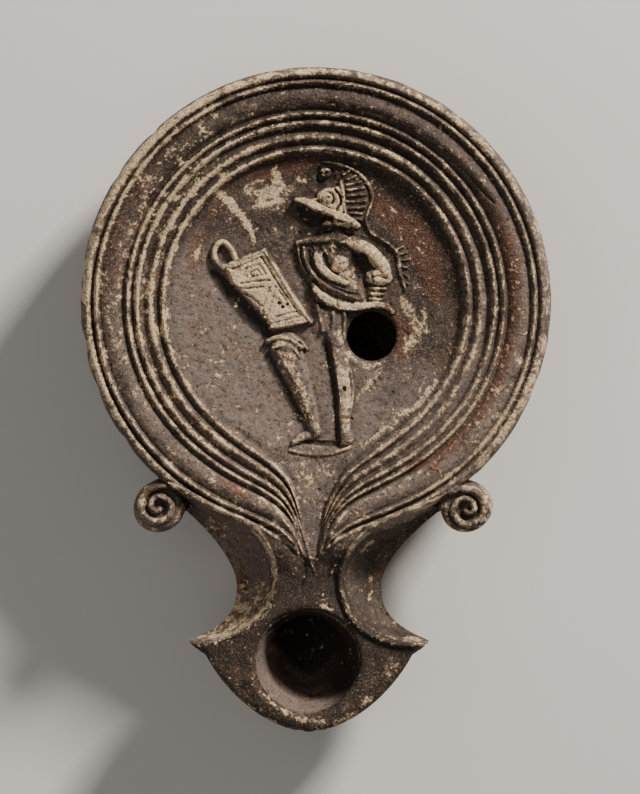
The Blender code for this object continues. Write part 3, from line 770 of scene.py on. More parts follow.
    def knob_heights(self, plan: Plan) -> Field:
        """Height of the two round volute knobs, without their spirals.

        Args:
            plan: The points.

        Returns:
            Heights in millimetres, low outside the knobs.
        """
        height = np.full(plan.x.shape, self.outside)
        top = self.rim - self.knob_drop
        for centre in (self.left_knob, self.right_knob):
            away = np.hypot(plan.x - centre[0], plan.y - centre[1])
            rounding = 1.0 * smoothstep((away - self.knob_radius + 0.8) / 1.1)
            drum = top - rounding - np.maximum(away - self.knob_radius - 0.2, 0.0) * 20.0
            height = np.maximum(height, np.where(away < self.knob_radius + 0.6, drum, self.outside))
        return height

    def left_volute(self) -> Path:
        """The left ridge, from its knob to the nozzle's corner."""
        return [(-23.7, -31.2), (-18.2, -33.8), (-12.7, -36.2), (-10.2, -38.1), (-8.3, -41.1),
            (-7.4, -43.5), (-6.8, -46.1), (-6.8, -48.0), (-7.4, -49.9), (-9.3, -52.3), (-11.7, -54.7),
            (-15.8, -56.6), (-20.6, -57.1)]

    def right_volute(self) -> Path:
        """The right ridge, from its knob to the nozzle's corner."""
        return [(22.9, -32.0), (20.3, -33.6), (14.3, -35.5), (10.5, -37.6), (7.8, -39.6), (5.8, -42.0),
            (4.6, -44.2), (4.1, -46.6), (4.5, -49.6), (5.4, -52.3), (7.2, -54.7), (9.9, -56.5),
            (14.3, -57.9), (18.6, -57.8)]

    def volutes(self) -> list[Stroke]:
        """The ridges from the knobs' eyes to the nozzle's corners.

        Returns:
            Both ridges and both spirals.
        """
        sides = (self.left_volute(), self.right_volute())
        lines = [Stroke([(x, y, 0.55) for x, y in points], 0.75) for points in sides]
        lines.append(self.spiral(-1, self.left_knob, [(-25.2, -30.9), (-23.7, -31.2)]))
        lines.append(self.spiral(1, self.right_knob, [(24.4, -31.4), (22.9, -32.0)]))
        return lines

    def neck_lines(self) -> list[Stroke]:
        """The low ridges that carry the mouldings on to the neck, and the channels between them.

        Returns:
            Ridges, then channels with heights below 0.
        """
        ridges = [
            [(-3.4, -36.2, 0.3), (-2.3, -38.6, 0.4), (-1.5, -41.2, 0.4), (-0.8, -43.6, 0.45),
                (-0.2, -45.6, 0.3)],
            [(-5.4, -36.8, 0.3), (-4.0, -38.6, 0.4), (-2.8, -40.8, 0.4), (-2.2, -42.6, 0.3)],
            [(-7.2, -37.0, 0.4), (-5.4, -38.6, 0.7), (-3.8, -40.6, 0.7), (-2.9, -42.4, 0.4)],
            [(3.0, -35.6, 0.3), (1.9, -38.0, 0.4), (1.3, -40.4, 0.4), (1.0, -42.4, 0.3)],
            [(5.0, -35.4, 0.4), (3.4, -37.6, 0.5), (2.4, -40.0, 0.5), (1.9, -42.0, 0.3)],
            [(9.6, -35.2, 0.4), (6.6, -36.8, 0.6), (4.4, -38.6, 0.7), (3.0, -41.0, 0.4)],
            [(4.8, -41.0, 0.3), (3.6, -43.6, 0.4), (2.6, -46.0, 0.3)],
        ]
        cuts = [
            [(1.6, -34.2, 0.6), (0.9, -37.4, 0.7), (0.5, -40.2, 0.6), (0.2, -43.0, 0.4)],
            [(-8.6, -37.9, 0.4), (-5.6, -40.0, 0.6), (-3.4, -42.4, 0.5)],
            [(-1.6, -43.4, 0.4), (-1.9, -46.0, 0.6), (-2.4, -48.0, 0.4)],
        ]
        lines = [Stroke(points, 0.34, profile=Profile.SOFT) for points in ridges]
        return lines + [Stroke(points, -0.34, profile=Profile.SOFT) for points in cuts]

    def damage(self, plan: Plan) -> Field:
        """Chips, the crack and pits.

        Args:
            plan: The points.

        Returns:
            Heights to add, in millimetres.
        """
        chips = np.zeros(plan.x.shape)
        spots = [(-40.2, 3.0, 1.1, 1.3), (-40.4, -2.4, 0.9, 0.8), (-39.6, 8.8, 0.9, 0.8),
            (-27.6, 30.0, 0.9, 1.0), (-37.8, -16.2, 0.8, 0.6), (12.3, 38.9, 0.8, 0.5),
            (38.9, 11.5, 0.7, 0.4), (30.6, -26.6, 0.9, 0.7), (-12.4, -65.4, 1.0, 0.5),
            (6.0, -71.5, 0.9, 0.5), (20.2, -58.0, 0.9, 0.6)]
        for x, y, reach, depth in spots:
            chips -= depth * plan.spot(x, y, reach)
        crack = [(2.4, 33.2), (8.0, 32.3), (12.5, 30.9), (17.0, 28.4)]
        crack += [(21.5, 25.2), (25.2, 22.0), (28.0, 18.9), (29.5, 17.2)]
        jitter = 0.35 * plan.grain(1.6, 31)
        moved = Plan(plan.x + jitter, plan.y - jitter)
        chips += moved.stroke(Stroke(crack, -0.34, 0.32, Profile.SOFT))
        chips += moved.stroke(Stroke([(x * 1.03, y * 1.03) for x, y in crack], 0.16, 0.9, Profile.SOFT))
        away = np.hypot(plan.x, plan.y)
        edge = smoothstep((away - 38.7) / 0.9) * (plan.y > -30.0)
        worn = np.clip(plan.grain(1.3, 25) - 0.9, 0.0, 1.0)
        chips -= 1.3 * edge * worn * smoothstep((14.0 - plan.x) / 24.0)
        chips -= 0.5 * edge * np.clip(plan.grain(0.7, 26) - 0.8, 0.0, 1.0)
        pits = np.clip(plan.grain(0.55, 21) - 1.5, 0.0, 1.5)
        rough = 0.030 * plan.grain(0.45, 22) + 0.045 * plan.grain(1.3, 23) + 0.10 * plan.grain(6.0, 24)
        return chips - 0.16 * pits + rough

    def heights(self, plan: Plan) -> Field:
        """Height of the whole top.

        Args:
            plan: The points.

        Returns:
            Heights in millimetres, low outside the lamp.
        """
        body = self.body_heights(plan)
        nozzle = self.nozzle_heights(plan)
        near = np.clip(1.0 - np.abs(body - nozzle) / 0.7, 0.0, 1.0)
        ground = np.maximum(body, nozzle) + 0.175 * near**2 * (plan.y < -33.0)
        ground = np.maximum(ground, self.knob_heights(plan))
        figure = Gladiator().heights(plan)
        on_discus = smoothstep((27.5 - np.hypot(plan.x, plan.y)) / 1.0)
        height = ground + figure * on_discus
        for line in self.volutes():
            height = height + plan.stroke(line)
        for line in self.neck_lines():
            height = height + plan.stroke(line)
        outline = plan.distance(self.front_outline(), curved=False)
        near = np.clip(1.0 - outline / 1.1, 0.0, 1.0)
        height = height - 1.0 * (1.0 - np.sqrt(1.0 - near**2)) * (plan.y < -57.0)
        wick_lip = np.hypot((plan.x - self.wick_centre[0]) / 1.02, plan.y - self.wick_centre[1])
        swell = np.exp(-(((wick_lip - 9.8) / 1.2) ** 2))
        height = height + 0.32 * swell * smoothstep((wick_lip - 8.5) / 0.5)
        hole = np.hypot(plan.x - self.filling_lip[0], plan.y - self.filling_lip[1])
        height = height - 0.5 * np.exp(-(((hole - 4.1) / 0.45) ** 2))
        height = height + self.damage(plan) * (ground > 9.0)
        return np.where(height > self.rim, self.rim + 0.3 * (height - self.rim), height)


@dataclass(frozen=True)
class Patch:
    """A stained or crusted area: a soft path on the plan, in millimetres, and its strength."""

    path: Path
    strength: float


class Zones:
    """The parts of the top that weather differently or take painted light and shade, each as a share from 0
    to 1 at every point.
    """

    def __init__(self, plan: Plan, top: MouldedTop) -> None:
        """Works out the zones.

        Args:
            plan: The points.
            top: The moulded top, for its knobs and side walls.
        """
        self.away = np.hypot(plan.x, plan.y)
        self.knobs = np.maximum(plan.spot(*top.left_knob, 5.0), plan.spot(*top.right_knob, 5.0))
        self.upper_right = smoothstep((plan.x * 0.75 + plan.y * 0.66 + 12.0) / 26.0)
        self.upper = smoothstep((plan.y - 3.0) / 14.0)
        self.lower = smoothstep((-plan.y + 2.0) / 24.0)
        self.left = smoothstep((8.0 - plan.x * 0.8 - plan.y * 0.2) / 26.0)
        self.right = smoothstep((plan.x - 6.0) / 20.0)
        self.discus = smoothstep((25.5 - self.away) / 1.0)
        self.nozzle = smoothstep((-plan.y - 40.5) / 5.0)
        self.front = smoothstep((-plan.y - 58.0) / 6.0)
        self.ring = smoothstep((self.away - 24.3) / 0.6) * (1.0 - self.nozzle)
        self.neck = smoothstep((-plan.y - 24.0) / 4.0) * smoothstep((9.0 - np.abs(plan.x)) / 3.0)
        self.neck = self.neck * (1.0 - self.nozzle)
        self.scooped = smoothstep(top.scoop(plan) / 0.12) * smoothstep((self.away - 38.6) / 1.2)
        self.worn = 0.5 + 0.35 * plan.grain(2.6, 41) + 0.25 * plan.grain(0.9, 42)


@dataclass
class Weathering:
    """Where the slip is pale, worn to red clay, sooty or crusted, and where light and shade are painted, as
    values from 0 to 1 at each point.
    """

    def blotches(self, plan: Plan, patches: list[Patch], profile: Profile = Profile.SOFT) -> Field:
        """The strongest of the patches at every point.

        Args:
            plan: The points.
            patches: The patches.
            profile: How the patches fade at their edges.

        Returns:
            Strengths from 0 to 1.
        """
        total = np.zeros(plan.x.shape)
        for patch in patches:
            spread = plan.stroke(Stroke(patch.path, 1.0, profile=profile))
            total = np.maximum(total, patch.strength * spread)
        return total

    def crust_patches(self) -> list[Patch]:
        """Thick pale deposit, as streaks and flecks.

        Returns:
            The patches with their strengths.
        """
        flecks = [(-12.2, -14.1), (-11.7, -11.2), (-10.0, -18.6), (-13.8, -4.4), (-13.5, -0.8),
            (-15.9, -10.3), (-12.6, -17.5), (-17.6, -9.8), (-6.2, -23.3), (-4.3, -20.7), (-2.4, -27.6),
            (-4.2, -31.2), (0.7, -28.4)]
        patches = [
            Patch([(-16.6, 18.6, 1.0), (-14.2, 16.4, 1.4), (-12.2, 14.3, 1.1), (-11.0, 12.4, 1.0),
                (-10.5, 10.2, 0.8)], 1.0),
            Patch([(-11.6, 18.9, 1.2), (-8.1, 18.3, 2.4), (-5.8, 19.6, 2.0), (-7.0, 22.1, 1.0)], 0.86),
            Patch([(-9.6, 16.4, 1.8), (-6.4, 17.4, 2.2), (-4.2, 19.4, 1.4)], 0.74),
            Patch([(8.4, -7.6, 0.6), (11.2, -8.6, 0.9), (13.6, -7.4, 0.8)], 0.6),
            Patch([(9.6, -23.6, 0.6), (13.0, -20.4, 0.9), (16.8, -17.6, 0.9), (19.6, -14.0, 0.6)], 0.62),
            Patch([(-11.9, 19.4, 0.5), (-10.2, 20.4, 0.5), (-8.8, 20.6, 0.4)], 0.8),
            Patch([(-19.8, 8.6, 0.7), (-20.2, 7.4, 0.6)], 0.7),
            Patch([(-13.2, 10.6, 0.3), (-11.4, 11.2, 0.4), (-9.8, 12.6, 0.3)], 0.6),
            Patch([(5.4, -8.6, 0.5), (7.2, -10.2, 0.7), (9.6, -10.7, 0.8), (12.2, -9.8, 0.6)], 0.72),
            Patch([(13.2, -8.4, 0.6), (10.6, -11.6, 0.7), (7.6, -15.4, 0.6), (6.6, -17.4, 0.4)], 0.5),
            Patch([(-3.2, 20.8, 1.0), (-1.9, 20.7, 0.9)], 0.6),
            Patch([(12.6, -21.4, 0.8), (14.6, -19.0, 1.3), (17.8, -17.0, 1.1), (20.2, -13.4, 0.8)], 0.85),
            # Partly a painted highlight on the lit side of the left volute's ridge.
            Patch([(-12.7, -36.2, 0.5), (-8.3, -41.1, 0.6), (-6.8, -46.1, 0.7), (-7.4, -49.9, 0.5)], 0.80),
            Patch([(-9.6, -66.0, 1.0), (-3.2, -70.2, 1.3), (4.0, -70.8, 1.3), (9.4, -67.2, 1.0)], 0.48),
            Patch([(13.0, -60.6, 2.4), (9.6, -64.6, 2.2)], 0.30),
            Patch([(-11.4, -58.6, 1.4), (-9.8, -63.6, 1.6)], 0.30),
            Patch([(8.0, -42.2, 0.5), (9.6, -40.6, 0.5)], 0.7),
            Patch([(9.2, -46.4, 0.4), (9.6, -48.6, 0.4), (8.9, -50.6, 0.4)], 0.7),
            Patch([(8.0, -24.5, 0.4), (11.1, -21.7, 0.6)], 0.8),
            Patch([(14.9, 0.4, 1.3), (16.4, -2.6, 2.0), (16.9, -5.8, 1.9), (14.8, -8.2, 1.2)], 0.68),
            Patch([(18.6, 1.0, 0.5), (18.4, -2.0, 0.7), (18.8, -5.0, 0.6)], 0.6),
            Patch([(13.7, -9.3, 0.7), (11.3, -11.4, 0.6), (8.9, -14.1, 0.5)], 0.6),
            Patch([(12.3, 16.4, 0.3), (13.6, 15.0, 0.4), (15.4, 14.2, 0.3)], 0.5),
            Patch([(-8.6, -29.4, 0.3), (-7.1, -31.6, 0.5), (-5.4, -33.2, 0.3)], 0.9),
            Patch([(1.2, -51.5, 0.5), (3.0, -52.1, 0.5)], 1.0),
            Patch([(15.4, -56.9, 0.6), (17.3, -57.4, 1.0), (18.4, -58.3, 0.8)], 1.0),
            Patch([(-17.6, -57.4, 0.5), (-20.4, -57.4, 0.5)], 0.7),
            Patch([(-11.0, 21.0, 0.5), (-12.4, 20.4, 0.4)], 0.5),
            Patch([(12.4, 15.0, 0.2), (14.0, 13.0, 0.25), (14.6, 10.0, 0.25)], 0.7),
            Patch([(16.8, 9.4, 0.25), (18.2, 8.2, 0.3)], 0.6),
            Patch([(38.4, 13.0, 0.9), (38.9, 10.8, 0.8)], 0.8),
            Patch([(19.4, -10.6, 0.3), (18.2, -13.6, 0.4), (17.0, -16.2, 0.3)], 0.5),
        ]
        patches += [Patch([(x - 0.1, y, 0.45), (x + 0.1, y + 0.3, 0.45)], 0.8) for x, y in flecks]
        return patches

    def red_patches(self) -> list[Patch]:
        """Places where the slip is worn down to the red-brown clay.

        Returns:
            The patches with their strengths.
        """
        return [
            Patch([(9.6, 17.8, 1.4), (13.0, 15.0, 3.4), (17.0, 11.2, 4.2), (19.4, 6.4, 3.4),
                (20.6, 1.0, 2.4)], 0.95),
            Patch([(-5.0, -9.0, 2.2), (-3.2, -13.6, 2.2), (-1.2, -19.0, 1.3)], 0.42),
            Patch([(12.0, -1.4, 1.6), (14.4, -4.4, 2.4), (14.0, -8.4, 2.0)], 0.8),
            Patch([(-12.6, 20.4, 1.6), (-6.0, 21.8, 2.0), (0.0, 23.6, 1.4)], 0.55),
            Patch([(-10.0, 21.4, 1.6), (-5.0, 23.2, 1.6), (-0.5, 23.9, 1.3)], 0.7),
            Patch([(-21.0, 6.0, 3.0), (-19.0, 13.0, 3.0), (-14.0, 19.0, 2.0)], 0.35),
            Patch([(16.6, -3.6, 1.8), (15.8, -6.0, 2.2), (14.4, -9.0, 1.3)], 0.8),
            Patch([(-15.6, -30.0, 1.1), (-12.8, -31.9, 1.4), (-11.4, -32.9, 0.8)], 0.95),
            Patch([(28.6, 18.0, 2.2), (32.5, 10.0, 3.0), (33.0, -4.0, 3.2), (29.0, -17.0, 3.0),
                (20.0, -27.5, 2.2)], 0.5),
            Patch([(5.8, 9.2, 0.9), (7.4, 9.0, 0.9)], 0.6),
            Patch([(-7.4, -2.6, 1.0), (-6.9, -1.9, 1.1)], 1.0),
            Patch([(-11.2, 5.2, 1.3), (-9.4, 5.6, 1.3)], 0.5),
            Patch([(16.0, -28.0, 1.6), (20.5, -25.4, 1.8), (24.0, -21.0, 1.4)], 0.6),
            Patch([(-34.0, 4.0, 2.0), (-32.6, 14.0, 2.2), (-26.0, 24.0, 2.0)], 0.35),
            Patch([(11.5, -44.0, 1.2), (9.4, -48.0, 1.4)], 0.5),
            # Partly painted light: the nozzle's left side wall made browner, as if lit.
            Patch([(-12.0, -46.0, 2.0), (-13.6, -52.6, 3.0)], 0.50),
            Patch([(-12.6, -62.0, 3.0), (-4.0, -69.4, 2.6), (6.0, -69.4, 2.6), (13.0, -62.0, 3.0)], 0.30),
            Patch([(7.0, -43.4, 1.6), (4.6, -46.0, 1.4)], 0.35),
        ]

    def deposit_and_painted_light_patches(self) -> list[Patch]:
        """Places where the relief still holds a coat of pale deposit, partly painted light on the figure's
        lit faces.

        Returns:
            The patches with their strengths.
        """
        return [
            Patch([(-17.0, 8.0, 1.2), (-15.6, 9.8, 1.3), (-13.8, 7.4, 1.0)], 0.85),
            Patch([(-3.2, 17.4, 0.9), (-0.4, 16.4, 1.4), (2.4, 17.4, 2.6), (4.2, 14.4, 1.8),
                (6.8, 13.0, 1.2)], 0.95),
            Patch([(3.9, 19.9, 0.8), (4.6, 17.6, 0.8)], 0.8),
            Patch([(1.0, 9.0, 0.8), (3.0, 9.4, 0.9)], 0.5),
            Patch([(1.2, 8.4, 1.6), (3.4, 6.6, 2.4), (5.4, 4.2, 1.4), (6.6, 2.6, 0.8)], 0.62),
            Patch([(6.4, 9.9, 0.9), (9.0, 8.9, 1.5), (11.0, 6.4, 1.9), (11.6, 4.0, 2.2)], 0.92),
            Patch([(4.1, 6.6, 1.8), (3.4, 5.6, 1.2)], 0.95),
            Patch([(0.2, 8.0, 0.8), (1.2, 5.7, 1.1), (3.0, 4.2, 1.1), (5.2, 3.4, 0.8)], 0.9),
            Patch([(0.2, 2.2, 0.9), (2.2, 0.8, 1.3), (5.0, -0.6, 1.1), (8.4, -0.6, 0.8),
                (10.6, -0.4, 0.7)], 0.9),
            Patch([(10.2, 2.2, 1.0), (10.2, 0.4, 1.0)], 0.8),
            Patch([(-7.4, -6.6, 0.9), (-5.0, -6.6, 1.0), (-2.6, -7.6, 0.8)], 0.6),
            Patch([(-5.2, -9.6, 2.0), (-3.2, -13.6, 1.9), (-1.6, -17.6, 1.4)], 0.56),
            Patch([(4.6, -11.6, 1.4), (5.3, -15.6, 1.6), (5.0, -19.4, 1.3)], 0.84),
            Patch([(4.9, -20.6, 1.2), (5.2, -22.8, 1.0)], 0.7),
            Patch([(4.4, -4.4, 0.8), (4.2, -8.2, 0.8)], 0.42),
            Patch([(-3.4, -23.6, 0.6), (-2.2, -22.3, 0.7)], 0.7),
        ]

    def painted_shadow_and_dark_patches(self) -> list[Patch]:
        """Painted shadows of the figure's relief on the discus, and a few darker places around it.

        Returns:
            The patches with their strengths.
        """
        return [
            Patch([(-0.5, 21.8, 1.4), (1.6, 21.4, 1.9), (3.0, 21.8, 1.2)], 0.85),
            Patch([(-2.9, 16.0, 0.6), (-1.8, 14.8, 1.5), (-0.6, 13.6, 1.7), (0.8, 13.9, 1.0)], 1.0),
            Patch([(-2.6, 11.7, 0.6), (-0.8, 11.8, 0.9), (1.4, 11.7, 0.7), (4.6, 12.2, 0.4)], 1.0),
            Patch([(-17.2, 5.0, 0.9), (-15.2, 2.4, 1.5), (-12.4, -0.8, 1.8), (-9.4, -4.0, 1.5),
                (-7.6, -5.6, 0.8)], 1.0),
            Patch([(-8.4, -8.4, 0.8), (-6.6, -12.2, 0.9), (-4.4, -16.2, 0.9), (-2.6, -20.0, 0.8)], 0.8),
            Patch([(-5.4, -9.0, 2.4), (-3.2, -13.6, 2.2), (-1.2, -19.0, 1.4)], 0.34),
            Patch([(2.0, -7.0, 0.8), (2.8, -12.0, 0.9), (3.4, -18.0, 0.7), (3.8, -23.0, 0.7)], 0.7),
            Patch([(7.8, 6.4, 1.2), (7.5, 5.2, 1.0)], 0.95),
            Patch([(-3.6, 8.0, 0.7), (-2.9, 5.2, 0.8), (-1.2, 2.4, 0.9), (1.6, -0.9, 0.7)], 0.6),
            Patch([(-2.0, -23.6, 0.5), (1.4, -23.9, 0.6), (4.2, -24.1, 0.5)], 0.85),
            Patch([(-18.4, 10.4, 1.2), (-16.4, 14.6, 1.4), (-14.6, 17.6, 0.8)], 0.5),
            Patch([(-9.4, 13.0, 1.6), (-6.8, 13.6, 2.0), (-4.6, 13.2, 1.2)], 0.5),
            Patch([(-12.6, 20.6, 0.8), (-8.6, 22.6, 1.0), (-5.0, 23.0, 0.8)], 0.55),
        ]

    def slip(self, plan: Plan, zones: Zones) -> Field:
        """How pale the slip is, with painted light on the discus and on the nozzle's left side wall.

        Args:
            plan: The points.
            zones: The parts of the top at the same points.

        Returns:
            0 for the darkest slip and 1 for the palest.
        """
        # Painted light and shade of the sunken discus: paler at the lower left, darker towards the top and
        # upper right, partly darker slip.
        pale = zones.discus * (0.88 - 0.68 * zones.upper_right) * (1.0 - 0.55 * zones.upper)
        pale = np.maximum(pale, 0.86 * zones.discus * smoothstep((-plan.y - 6.0) / 8.0))
        shoulder = 0.46 - 0.12 * zones.left + 0.22 * zones.lower + 0.16 * zones.right
        pale = np.maximum(pale, zones.ring * shoulder)
        pale = np.maximum(pale, 0.46 * zones.neck)
        # Painted light: the nozzle's left side wall is made paler than the right, as if lit.
        side_walls_painted_light = np.where(plan.x < 0.0, 0.95, 0.34)
        return np.where(zones.scooped > 0.0, mix(pale, side_walls_painted_light, zones.scooped), pale)

    def soot_and_shade(self, plan: Plan, zones: Zones, shade: Field) -> Field:
        """How dark the slip is made: soot on the nozzle, darker slip on the knobs and the back of the
        shoulder, painted shade on the discus, and the painted shadows.

        Args:
            plan: The points.
            zones: The parts of the top at the same points.
            shade: The painted shadows.

        Returns:
            Strengths from 0 to 1.
        """
        top_rings = zones.ring * smoothstep((plan.y - 6.0) / 18.0) * smoothstep((37.5 - zones.away) / 1.0)
        nozzle = zones.nozzle * (1.0 - zones.scooped) * (1.0 - 0.32 * zones.front)
        soot_and_shade = np.maximum(nozzle, 0.60 * top_rings)
        # Painted shade: the sunken discus darkens towards the top and upper right, partly darker slip.
        soot_and_shade = np.maximum(soot_and_shade, zones.discus * np.maximum(0.45 * zones.upper_right, 0.42 * zones.upper))
        return np.maximum(np.maximum(soot_and_shade, 0.50 * zones.knobs), shade)

    def grime_and_painted_shade(self, zones: Zones, proud: Field, sunk: Field, shade: Field) -> Field:
        """How dark the hollows are made: grime, with painted shade in the recesses and the painted shadows.

        Args:
            zones: The parts of the top.
            proud: Height over the finely smoothed top.
            sunk: Height over the broadly smoothed top.
            shade: The painted shadows.

        Returns:
            Strengths from 0 to 1.
        """
        # Painted shade in fine recesses and broad hollows, with grime.
        hollow = np.maximum(smoothstep((-proud - 0.02) / 0.16), 0.6 * smoothstep((-sunk - 0.08) / 0.45))
        kept = 1.0 - 0.35 * zones.ring * np.maximum(zones.left, zones.right)
        hollow = hollow * kept * (1.0 - 0.35 * zones.discus)
        # The painted shadows darken the hollows too.
        return np.maximum(hollow, 0.9 * shade * smoothstep((0.35 - proud) / 0.3))

    def crest_lines(self, plan: Plan, zones: Zones, crest: Field) -> Field:
        """Deposit along the mouldings' crests, the rim and the nozzle's ridges, with painted light on the
        rim's upper part.

        Args:
            plan: The points.
            zones: The parts of the top at the same points.
            crest: 1 on the crest of any fine relief.

        Returns:
            Strengths from 0 to about 1.
        """
        lower, left, right, worn = zones.lower, zones.left, zones.right, zones.worn
        strength = 0.46 + 0.60 * left * (1.0 - 0.85 * lower) + 0.12 * lower + 0.20 * lower * right
        line = crest * zones.ring * strength * np.clip(0.70 + 0.6 * worn, 0.4, 1.3)
        dusting = 0.48 * left * (1.0 - 0.5 * lower) + 0.36 * lower * right
        line = np.maximum(line, dusting * zones.ring * np.clip(worn, 0.0, 1.0))
        rim = smoothstep((zones.away - 37.9) / 0.9) * (1.0 - smoothstep((-plan.y - 22.0) / 8.0))
        # Painted light: the rim is paler towards the top, partly wear.
        lit = smoothstep((plan.y + 10.0) / 30.0) * (1.0 - 0.8 * right)
        broken = np.clip(0.5 + 1.3 * (worn - 0.5) + 0.25 * plan.grain(1.4, 43), 0.0, 1.0)
        line = np.maximum(line, rim * np.clip(0.10 + 0.62 * broken + 0.36 * lit - 0.22 * right, 0.0, 1.0))
        line = line * (1.0 - 0.55 * zones.knobs)
        return np.maximum(line, 0.42 * crest * zones.nozzle * np.clip(worn, 0.2, 1.2))

    def crust(self, plan: Plan, zones: Zones, proud: Field, sunk: Field) -> Field:
        """How thickly the pale deposit lies, with painted light on the figure's lit faces and on the
        nozzle's left side wall.

        Args:
            plan: The points.
            zones: The parts of the top at the same points.
            proud: Height over the finely smoothed top.
            sunk: Height over the broadly smoothed top.

        Returns:
            Strengths from 0 to about 1.
        """
        crest = smoothstep((proud - 0.02) / 0.13)
        # Deposit on the figure, partly painted light on its lit faces and on the shield's face.
        coat_and_painted_light = self.blotches(plan, self.deposit_and_painted_light_patches(), Profile.FLAT) * smoothstep((sunk + 0.35) / 0.35)
        coat_and_painted_light = np.maximum(coat_and_painted_light, 0.98 * plan.mass(Mass(Gladiator().shield_face, 1.0, 0.5)))
        coat_and_painted_light = coat_and_painted_light * smoothstep((proud + 0.36) / 0.24)
        figure = zones.discus * smoothstep((proud + 0.02) / 0.2) * 0.44
        patches = self.blotches(plan, self.crust_patches())
        crust = np.maximum(self.crest_lines(plan, zones, crest), coat_and_painted_light)
        crust = np.maximum(crust, np.maximum(figure, patches))
        crust = np.maximum(crust, 0.55 * zones.neck * crest)
        # Painted light: pale deposit on the nozzle's left side wall, standing in for its lit look.
        left_wall_painted_light = smoothstep((-3.0 - plan.x) / 3.0) * smoothstep((-plan.y - 46.0) / 4.0)
        return np.maximum(crust, 0.60 * zones.scooped * left_wall_painted_light)

    def masks(self, plan: Plan, height: Field, smoothed: Field, broad: Field) -> dict[str, Field]:
        """The named values that the clay's material reads.

        Args:
            plan: The points.
            height: Height of the top at each point.
            smoothed: The same heights with the finest relief smoothed away.
            broad: The same heights with all relief smoothed away.

        Returns:
            One array per attribute.
        """
        zones = Zones(plan, MouldedTop())
        proud, sunk = height - smoothed, height - broad
        shade = self.blotches(plan, self.painted_shadow_and_dark_patches(), Profile.FLAT)
        specks = 0.22 + 0.26 * zones.ring + 0.30 * zones.neck + 0.30 * zones.discus * zones.upper_right
        specks = specks + 0.14 * zones.ring * zones.lower * zones.right
        return {
            "pale": np.clip(self.slip(plan, zones), 0.0, 1.0),
            "soot_and_shade": np.clip(self.soot_and_shade(plan, zones, shade), 0.0, 1.0),
            "crust": np.clip(self.crust(plan, zones, proud, sunk), 0.0, 1.0),
            # hollow: grime with painted shade in the recesses, and the painted shadows.
            "hollow": np.clip(self.grime_and_painted_shade(zones, proud, sunk, shade), 0.0, 1.0),
            "red": self.blotches(plan, self.red_patches()),
            "specks": np.clip(specks, 0.0, 1.0),
        }


